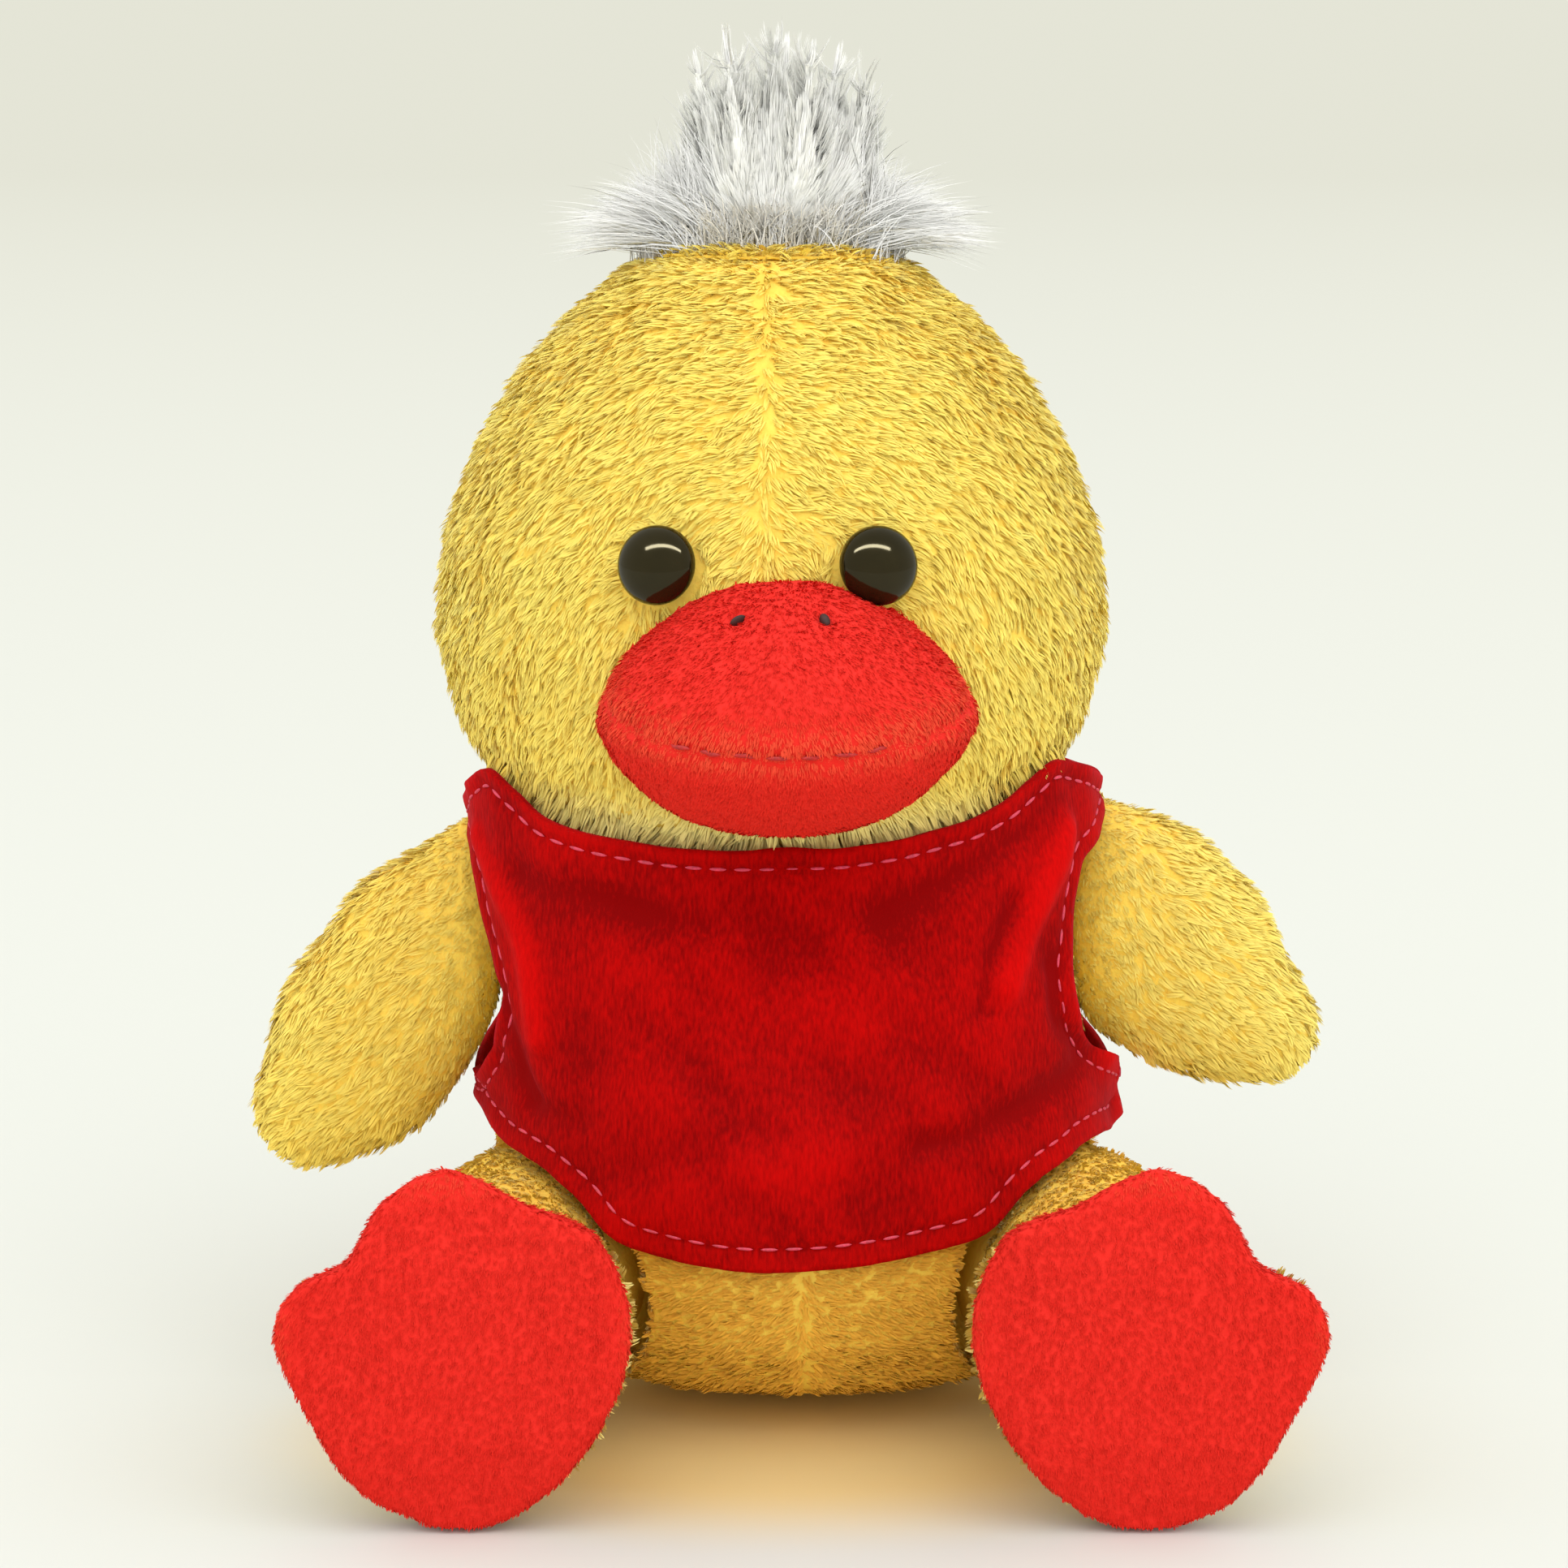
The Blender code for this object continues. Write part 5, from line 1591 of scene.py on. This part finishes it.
# Folds: across and up in mm, then height and half width of the fold in mm
FOLDS_MM = (
    (((-36.0, 72.0), (-30.6, 62.0), (-28.6, 50.0)), 1.0, 1.8),
    (((-33.5, 53.6), (-31.3, 47.7), (-29.8, 41.7)), -0.9, 1.9),
    (((-31.0, 69.3), (-17.0, 66.2), (-9.2, 65.0)), -0.5, 2.0),
    (((28.2, 74.3), (19.6, 69.8), (11.2, 66.0)), -0.6, 2.0),
    (((33.0, 73.5), (28.9, 64.5), (26.0, 57.0)), 1.2, 2.0),
    (((27.0, 66.0), (24.3, 60.0), (23.0, 54.0)), -0.7, 1.7),
    (((31.5, 57.5), (32.2, 51.4), (35.1, 47.2)), -0.9, 1.8),
    (((36.8, 46.0), (26.7, 41.3), (15.3, 39.0)), -0.6, 2.0),
    (((38.6, 44.0), (40.6, 39.0), (40.4, 34.5)), 1.2, 3.0),
    (((-34.1, 45.7), (-28.6, 42.0), (-23.9, 40.7)), -0.5, 1.8),
    (((-20.0, 28.5), (-8.0, 36.0), (6.0, 38.0)), 0.35, 3.0),
)


# Heights, by turn from the front, over which the vest spans straight from the body to the head
SPAN_TOP_DEG = ((0, 74.5), (30, 76.5), (45, 80.5), (60, 83.0), (90, 81.0), (130, 79.0), (180, 77.5))
made_cloth = {}


def bridged(heights, radii):
    """Radii over heights with every hollow spanned straight, as taut cloth does."""
    kept = []
    for point in zip(heights, radii):
        while len(kept) > 1:
            (z0, r0), (z1, r1) = kept[-2:]
            if (r1 - r0) * (point[0] - z0) > (point[1] - r0) * (z1 - z0):
                break
            kept.pop()
        kept.append(point)
    kept = np.array(kept)
    return np.interp(heights, kept[:, 0], kept[:, 1])


def cloth_table():
    """The vest's inner face: radii over turns from the front and heights."""
    if made_cloth:
        return made_cloth
    vest = bpy.context.scene.duck_vest
    turns = np.radians(np.arange(-180, 181, 2.5))
    heights = np.arange(18.0, 90.0) * MM
    radii = np.zeros((len(turns), len(heights)))
    for row, turn in enumerate(turns):
        sine, cosine = math.sin(turn), math.cos(turn)
        reach = np.zeros((3, len(heights)))
        for column, height in enumerate(heights):
            start = Vector((0.1 * sine, -0.1 * cosine, height))
            for number, name in enumerate(("body", "body_hull", "head")):
                spot = tree(name).ray_cast(start, Vector((-sine, cosine, 0.0)))[0]
                reach[number, column] = 0.0 if spot is None else math.hypot(spot.x, spot.y)
        hull_share = ease(50 * MM, 38 * MM, heights)
        low = reach[0] + (reach[1] - reach[0]) * hull_share + vest.ease
        both = np.maximum(low, reach[2] + vest.head_ease)
        flare = vest.flare * math.exp(-(((abs(math.degrees(turn)) - 90) / 24) ** 2))
        both += flare * ease(60 * MM, 74 * MM, heights) * (turn > 0)
        top = np.interp(abs(math.degrees(turn)), *np.array(SPAN_TOP_DEG).T) * MM
        under = heights <= top
        both[under] = bridged(heights[under], both[under])
        both[~under] = np.maximum(both[~under], both[under][-1])
        radii[row] = both
    for _ in range(3):
        radii[1:-1] = (radii[:-2] + 2 * radii[1:-1] + radii[2:]) / 4
    made_cloth.update(turns=turns, heights=heights, radii=radii)
    return made_cloth


def cloth_radius(turn, height):
    """How far from the upright middle line the vest's inner face lies, at a turn from the front."""
    table = cloth_table()
    turn = (turn + math.pi) % (2 * math.pi) - math.pi
    rows, columns = table["turns"], table["heights"]
    row = (turn - rows[0]) / (rows[1] - rows[0])
    column = min(max((height - columns[0]) / (columns[1] - columns[0]), 0.0), len(columns) - 1.001)
    above, left = min(int(row), len(rows) - 2), int(column)
    down, right = row - above, column - left
    near = table["radii"][above : above + 2, left : left + 2]
    return float(np.array((1 - down, down)) @ near @ np.array((1 - right, right)))


def cloth_point(turn, height, lift):
    """A point of the vest, at a turn from the front and a height, lifted off its inner face."""
    reach = cloth_radius(turn, height) + lift
    return Vector((reach * math.sin(turn), -reach * math.cos(turn), height))


def front_turn(across, height):
    """The turn at which the vest's front shows at a distance across."""
    low, high = -math.pi / 2, math.pi / 2
    for _ in range(24):
        middle = (low + high) / 2
        if cloth_point(middle, height, 0.0).x < across:
            low = middle
        else:
            high = middle
    return middle


def smooth_line(points, step):
    """Points a step apart along a smooth curve through the given points."""
    points = np.array(points, dtype=float)
    before = np.concatenate((2 * points[:1] - points[1:2], points[:-1]))
    after = np.concatenate((points[1:], 2 * points[-1:] - points[-2:-1]))
    slopes = (after - before) / 2
    line = []
    for index in range(len(points) - 1):
        here, there = points[index], points[index + 1]
        parts = max(2, int(math.ceil(np.linalg.norm(there - here) / step)))
        for part in range(parts):
            s = part / parts
            line.append(
                here * (2 * s**3 - 3 * s**2 + 1)
                + slopes[index] * (s**3 - 2 * s**2 + s)
                + there * (3 * s**2 - 2 * s**3)
                + slopes[index + 1] * (s**3 - s**2)
            )
    line.append(points[-1])
    return np.array(line)


FLAT_RADIUS = 38.5 * MM


def flat(turn, height):
    """A place on the vest laid flat, in metres."""
    return (turn * FLAT_RADIUS, height)


def raised_over_legs(line):
    """Lift the points of a hem until they clear both legs."""
    vest = bpy.context.scene.duck_vest
    lifted = []
    for along, height in line:
        turn = along / FLAT_RADIUS
        for _ in range(40):
            point = cloth_point(turn, height, 0.0)
            room = vest.leg_ease + 0.8 * MM
            if not any(inside(tree(f"leg_{side}"), np.array(point), room) for side in SIDES):
                break
            height += 0.4 * MM
        lifted.append((along, height))
    lifted = np.array(lifted)
    for _ in range(10):
        calm = lifted.copy()
        calm[1:-1, 1] = np.maximum(lifted[1:-1, 1], (lifted[:-2, 1] + lifted[2:, 1]) / 2)
        lifted = calm
    return lifted


made_lines = {}


def vest_lines():
    """The edges of each panel laid flat: hem, armholes and neckline, left to right and bottom to top."""
    if made_lines:
        return made_lines
    step = bpy.context.scene.duck_vest.grid
    quarter = math.pi / 2
    seam = quarter - 0.15 * MM / FLAT_RADIUS

    def from_front(table):
        return [flat(front_turn(x * MM, z * MM), z * MM) for x, z in table]

    right_under, left_under = UNDERARM_MM["right"], UNDERARM_MM["left"]
    right_top, left_top = SHOULDER_MM["right"], SHOULDER_MM["left"]
    hem = [flat(-seam, right_under[0] * MM)] + from_front(FRONT_HEM_MM) + [flat(seam, left_under[0] * MM)]
    neck = [flat(-seam, right_top[1] * MM)] + from_front(FRONT_NECK_MM) + [flat(seam, left_top[1] * MM)]
    left_arm = from_front(LEFT_ARM_MM)[::-1]
    left_arm = [flat(seam, left_under[1] * MM)] + left_arm + [flat(seam, left_top[0] * MM)]
    right_arm = from_front(RIGHT_ARM_MM)[::-1]
    right_arm = [flat(-seam, right_under[1] * MM)] + right_arm + [flat(-seam, right_top[0] * MM)]
    made_lines["front"] = {
        "hem": raised_over_legs(smooth_line(tidy(hem), step)),
        "neck": smooth_line(tidy(neck), step),
        "plus": smooth_line(left_arm, step),
        "minus": smooth_line(right_arm, step),
    }
    back = {}
    for label, table, ends in (
        ("neck", BACK_NECK_DEG, (left_top[1], right_top[1])),
        ("hem", BACK_HEM_DEG, (left_under[0], right_under[0])),
    ):
        line = []
        for degrees, drop in table:
            turn = math.radians(min(max(degrees, math.degrees(math.pi - seam)), math.degrees(math.pi + seam)))
            part = (degrees - 90) / 180
            line.append(flat(turn, (ends[0] + (ends[1] - ends[0]) * part + drop) * MM))
        back[label] = smooth_line(line, step)
    back["hem"] = raised_over_legs(back["hem"])
    for label, side, sign in (("minus", "left", -1), ("plus", "right", 1)):
        low, high = UNDERARM_MM[side][1], SHOULDER_MM[side][0]
        reach = math.pi - math.radians(BACK_ARM_DEG)
        line = []
        for part in np.linspace(0, 1, 9):
            swell = math.sin(math.pi * part) ** 0.55
            turn = seam + (reach - seam) * swell
            turn = turn if sign < 0 else 2 * math.pi - turn
            if part in (0.0, 1.0):
                turn = math.pi - seam if sign < 0 else math.pi + seam
            line.append(flat(turn, (low + (high - low) * part) * MM))
        back[label] = smooth_line(line, step)
    made_lines["back"] = back
    return made_lines


def tidy(line):
    """Points of an edge in order along it, without any that fall back."""
    kept = [line[0]]
    for point in line[1:-1]:
        if kept[-1][0] + 0.6 * MM < point[0] < line[-1][0] - 0.6 * MM:
            kept.append(point)
    return kept + [line[-1]]


def outline(lines):
    """One closed outline of a flat panel."""
    return np.concatenate((
        lines["hem"][:-1],
        straight(lines["hem"][-1], lines["plus"][0])[:-1],
        lines["plus"][:-1],
        straight(lines["plus"][-1], lines["neck"][-1])[:-1],
        lines["neck"][::-1][:-1],
        straight(lines["neck"][0], lines["minus"][-1])[:-1],
        lines["minus"][::-1][:-1],
        straight(lines["minus"][0], lines["hem"][0])[:-1],
    ))


def straight(start, end):
    """Points along a straight seam."""
    start, end = np.array(start), np.array(end)
    parts = max(2, int(np.linalg.norm(end - start) / bpy.context.scene.duck_vest.grid))
    return start + (end - start) * np.linspace(0, 1, parts + 1)[:, None]


def within(points, loop):
    """Which flat points lie inside a closed outline."""
    hit = np.zeros(len(points), dtype=bool)
    x, y = points[:, 0], points[:, 1]
    for (x0, y0), (x1, y1) in zip(loop, np.roll(loop, -1, axis=0)):
        if y0 == y1:
            continue
        crosses = (y0 > y) != (y1 > y)
        hit ^= crosses & (x < (x1 - x0) * (y - y0) / (y1 - y0) + x0)
    return hit


def gap_to(points, line):
    """How far each flat point lies from a line."""
    best = np.full(len(points), 1.0)
    for start, end in zip(line, line[1:]):
        span = end - start
        size = float(span @ span)
        if size < 1e-16:
            continue
        along = np.clip(((points - start) @ span) / size, 0, 1)
        best = np.minimum(best, np.linalg.norm(points - start - along[:, None] * span, axis=1))
    return best


def neckline_height(points):
    """The height of the vest's neckline at the turn of each point."""
    turns = np.arctan2(points[:, 0], -points[:, 1])
    front, back = vest_lines()["front"]["neck"], vest_lines()["back"]["neck"]
    around = np.where(turns < -math.pi / 2, turns + 2 * math.pi, turns) * FLAT_RADIUS
    line = np.concatenate((front, back))
    return np.interp(around, line[:, 0], line[:, 1])


def under_vest(points, margin):
    """Which points on the body lie under the vest, at least a margin in from its edges."""
    turns = np.arctan2(points[:, 0], -points[:, 1])
    covered = np.zeros(len(points), dtype=bool)
    for panel, lines in vest_lines().items():
        here = turns if panel == "front" else np.where(turns < 0, turns + 2 * math.pi, turns)
        laid = np.stack((here * FLAT_RADIUS, points[:, 2]), axis=1)
        loop = outline(lines)
        free = [lines["hem"], lines["neck"], lines["plus"], lines["minus"]]
        edge = np.min([gap_to(laid, line) for line in free], axis=0)
        covered |= within(laid, loop) & (edge > margin)
    return covered


def insets_of(vest):
    """How far the stitching lies from each edge of a panel."""
    return {"hem": vest.hem_inset, "neck": vest.neck_inset, "plus": vest.arm_inset, "minus": vest.arm_inset}


def fold_lift(panel, laid):
    """How far the folds and the gathered stitching lift or sink each flat point."""
    vest = bpy.context.scene.duck_vest
    lift = np.zeros(len(laid))
    if panel == "front":
        for table, height, half in FOLDS_MM:
            line = np.array([flat(front_turn(x * MM, z * MM), z * MM) for x, z in table])
            line = smooth_line(line, 1.5 * MM)
            gap = gap_to(laid, line)
            lift += height * MM * np.exp(-((gap / (half * MM)) ** 2))
    for label, inset in insets_of(vest).items():
        gap = gap_to(laid, vest_lines()[panel][label])
        lift -= 0.28 * MM * np.exp(-(((gap - inset) / (0.55 * MM)) ** 2))
        lift += 0.22 * MM * np.exp(-((gap / (0.9 * MM)) ** 2))
    ripple = np.stack((laid[:, 0], laid[:, 1], np.zeros(len(laid))), axis=1)
    lift += 0.22 * MM * wander(ripple, 19 * MM, 90) + 0.10 * MM * wander(ripple, 7 * MM, 91)
    return np.maximum(lift, -1.0 * MM)


def vest_mesh(panel):
    """One panel of the vest: its flat cut filled with a fine net and wrapped round the body."""
    vest = bpy.context.scene.duck_vest
    lines = vest_lines()[panel]
    loop = outline(lines)
    low, high = loop.min(axis=0), loop.max(axis=0)
    rows = np.arange(low[1], high[1], vest.grid * 0.866)
    net = []
    for number, height in enumerate(rows):
        xs = np.arange(low[0], high[0], vest.grid) + (vest.grid / 2 if number % 2 else 0.0)
        net.append(np.stack((xs, np.full(len(xs), height)), axis=1))
    net = np.concatenate(net)
    net = net[within(net, loop)]
    closed = np.concatenate((loop, loop[:1]))
    net = net[gap_to(net, closed) > 0.55 * vest.grid]
    everything = np.concatenate((loop, net))
    edges = [(index, (index + 1) % len(loop)) for index in range(len(loop))]
    made = geometry.delaunay_2d_cdt([Vector(point) for point in everything], edges, [], 1, 1e-7)
    laid = np.array([tuple(point) for point in made[0]])
    lift = fold_lift(panel, laid)
    points = [tuple(cloth_point(x / FLAT_RADIUS, z, extra)) for (x, z), extra in zip(laid, lift)]
    mesh = bpy.data.meshes.new(f"vest_{panel}_cloth")
    mesh.from_pydata(points, [], [tuple(face) for face in made[2]])
    # The fold attribute drives the velour's painted fold shade and painted light on the ridges.
    fold = mesh.attributes.new("fold", "FLOAT", "POINT")
    fold.data.foreach_set("value", np.clip(lift / (4.5 * MM), -0.25, 0.25).astype(np.float32))
    mesh.shade_smooth()
    work = bmesh.new()
    work.from_mesh(mesh)
    bmesh.ops.recalc_face_normals(work, faces=work.faces)
    work.faces.ensure_lookup_table()
    first = work.faces[0]
    out = first.calc_center_median()
    if first.normal.dot(Vector((out.x, out.y, 0.0))) < 0:
        bmesh.ops.reverse_faces(work, faces=work.faces)
    work.to_mesh(mesh)
    work.free()
    area = 0.0
    for face in made[2]:
        corners = [np.array(laid[index]) for index in face]
        area += abs(np.cross(corners[1] - corners[0], corners[2] - corners[0])) / 2
    thick = {"thickness": vest.thickness, "offset": 1.0}
    finished = settled(mesh.name, mesh, ("SOLIDIFY", thick))
    finished.shade_smooth()
    return finished, area, tuple(high - low)


def stitch_places(panel, label, inset, ends=(0.02, 0.98)):
    """Stitching at an inset from one edge of the vest, as points and normals on its outer face."""
    vest = bpy.context.scene.duck_vest
    line = vest_lines()[panel][label]
    along = np.gradient(line, axis=0)
    side = np.stack((-along[:, 1], along[:, 0]), axis=1)
    side = unit(side) * inset
    side *= {"hem": 1, "neck": -1, "plus": 1, "minus": -1}[label]
    laid = line + side
    laid = laid[int(len(laid) * ends[0]) : int(len(laid) * ends[1])]
    loop = outline(vest_lines()[panel])
    laid = laid[within(laid, loop)]
    lift = fold_lift(panel, laid) + vest.thickness + 0.10 * MM
    spots = [np.array(cloth_point(x / FLAT_RADIUS, z, extra)) for (x, z), extra in zip(laid, lift)]
    places = []
    for index, spot in enumerate(spots):
        turn = laid[index, 0] / FLAT_RADIUS
        up = np.array(cloth_point(turn, laid[index, 1] + 0.4 * MM, lift[index])) - spot
        out = np.cross(up, np.array((-math.cos(turn), -math.sin(turn), 0.0)))
        out = unit(out)
        if out @ np.array((math.sin(turn), -math.cos(turn), 0.0)) < 0:
            out = -out
        places.append((spot, out))
    return places


class DUCK_OT_vest(bpy.types.Operator):
    """Build the vest's two panels and their pink topstitching."""

    bl_idname = "duck.vest"
    bl_label = "Vest"

    def execute(self, context):
        vest = context.scene.duck_vest
        insets = insets_of(vest)
        for panel in ("front", "back"):
            mesh, area, flat_size = vest_mesh(panel)
            name = f"vest_{panel}"
            cloth = add_piece(f"{name}_cloth", mesh, velour(), "torso", "vest_cloth", (name,))
            for label, inset in insets.items():
                places = stitch_places(panel, label, inset)
                name = f"vest_{panel}_{label}_stitches"
                thread = dashes(name, places, vest.stitch_pitch, vest.stitch_length, vest.thread)
                finish = plain_thread("pink_thread", vest.pink)
                add_piece(name, thread, finish, "torso", "vest_cloth")
        return {"FINISHED"}


# Stage


class DUCK_OT_stage(bpy.types.Operator):
    """Set up the camera, the floor, the lamps and the world."""

    bl_idname = "duck.stage"
    bl_label = "Stage"

    def execute(self, context):
        stage = context.scene.duck_stage
        scene = context.scene
        scene.view_settings.view_transform = "Standard"
        work = bmesh.new()
        bmesh.ops.create_circle(work, cap_ends=True, segments=96, radius=stage.floor_radius)
        mesh = mesh_from(work, "floor", smooth=False)
        floor = bpy.data.objects.new("floor", mesh)
        scene.collection.objects.link(floor)
        mesh.materials.append(floor_paper())
        floor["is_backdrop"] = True
        eye = bpy.data.cameras.new("camera")
        eye.lens = stage.lens
        eye.sensor_width = 36.0
        camera = bpy.data.objects.new("camera", eye)
        scene.collection.objects.link(camera)
        down = stage.look_down
        back, rise = stage.distance * math.cos(down), stage.distance * math.sin(down)
        camera.location = (0.0, -back, stage.target_height + rise)
        camera.rotation_euler = (math.pi / 2 - down, 0.0, 0.0)
        scene.camera = camera
        world = bpy.data.worlds.new("studio")
        world.use_nodes = True
        scene.world = world
        background = world.node_tree.nodes["Background"]
        nodes, links = world.node_tree.nodes, world.node_tree.links
        path = nodes.new("ShaderNodeLightPath")
        seen = path.outputs["Is Camera Ray"]
        for other in ("Is Glossy Ray", "Is Transmission Ray"):
            either = nodes.new("ShaderNodeMath")
            either.operation = "MAXIMUM"
            links.new(seen, either.inputs[0])
            links.new(path.outputs[other], either.inputs[1])
            seen = either.outputs[0]
        tint = nodes.new("ShaderNodeMix")
        tint.data_type = "RGBA"
        links.new(seen, tint.inputs[0])
        tint.inputs[6].default_value = tuple(stage.sky * part for part in (1.0, 0.99, 0.97)) + (1.0,)
        tint.inputs[7].default_value = (*stage.backdrop, 1.0)
        links.new(tint.outputs[2], background.inputs["Color"])
        background.inputs["Strength"].default_value = 1.0
        sun = bpy.data.lights.new("sun", "SUN")
        sun.energy = stage.sun
        sun.angle = stage.sun_spread
        lamp = bpy.data.objects.new("sun", sun)
        scene.collection.objects.link(lamp)
        lamp.visible_glossy = False
        lamp.rotation_euler = Vector((0.15, -0.9, 1.0)).to_track_quat("Z", "Y").to_euler()
        self.lamp("top_lamp", stage.top_lamp, (0.90, 0.075), (0.0, -0.343, 0.567), (0.0, 0.0, 0.10))
        return {"FINISHED"}

    def lamp(self, name, power, size, place, target):
        """A soft rectangular lamp that looks at a point."""
        light = bpy.data.lights.new(name, "AREA")
        light.shape = "RECTANGLE"
        light.size, light.size_y = size
        light.energy = power
        lamp = bpy.data.objects.new(name, light)
        bpy.context.scene.collection.objects.link(lamp)
        lamp.visible_diffuse = False
        lamp.location = place
        lamp.rotation_euler = (Vector(place) - Vector(target)).to_track_quat("Z", "Y").to_euler()


class DUCK_PT_panel(bpy.types.Panel):
    """The list of the duck's pieces in the sidebar."""

    bl_idname = "DUCK_PT_panel"
    bl_label = "Plush duck"
    bl_space_type = "VIEW_3D"
    bl_region_type = "UI"
    bl_category = "Plush duck"

    def draw(self, context):
        for operator in OPERATORS:
            self.layout.operator(operator.bl_idname)


SETTINGS = {
    "duck_skin": SkinSettings,
    "duck_pile": PileSettings,
    "duck_tuft": TuftSettings,
    "duck_eyes": EyeSettings,
    "duck_bill": BillSettings,
    "duck_vest": VestSettings,
    "duck_stage": StageSettings,
}
OPERATORS = (
    DUCK_OT_stage,
    DUCK_OT_head,
    DUCK_OT_eyes,
    DUCK_OT_bill,
    DUCK_OT_tuft,
    DUCK_OT_body,
    DUCK_OT_wings,
    DUCK_OT_legs,
    DUCK_OT_vest,
)


def register():
    """Register the settings, the operators and the panel."""
    for name, group in SETTINGS.items():
        bpy.utils.register_class(group)
        setattr(bpy.types.Scene, name, bpy.props.PointerProperty(type=group))
    for item in (*OPERATORS, DUCK_PT_panel):
        bpy.utils.register_class(item)


def unregister():
    """Remove what register added."""
    for item in (DUCK_PT_panel, *reversed(OPERATORS)):
        bpy.utils.unregister_class(item)
    for name, group in SETTINGS.items():
        delattr(bpy.types.Scene, name)
        bpy.utils.unregister_class(group)


def main():
    """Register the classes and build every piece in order."""
    register()
    for operator in OPERATORS:
        group, name = operator.bl_idname.split(".")
        getattr(getattr(bpy.ops, group), name)()
    boxes = {"cad": cad_box, "visual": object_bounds()}
    plain = {key: [list(corner) for corner in box] for key, box in boxes.items()}


if __name__ == "__main__":
    main()
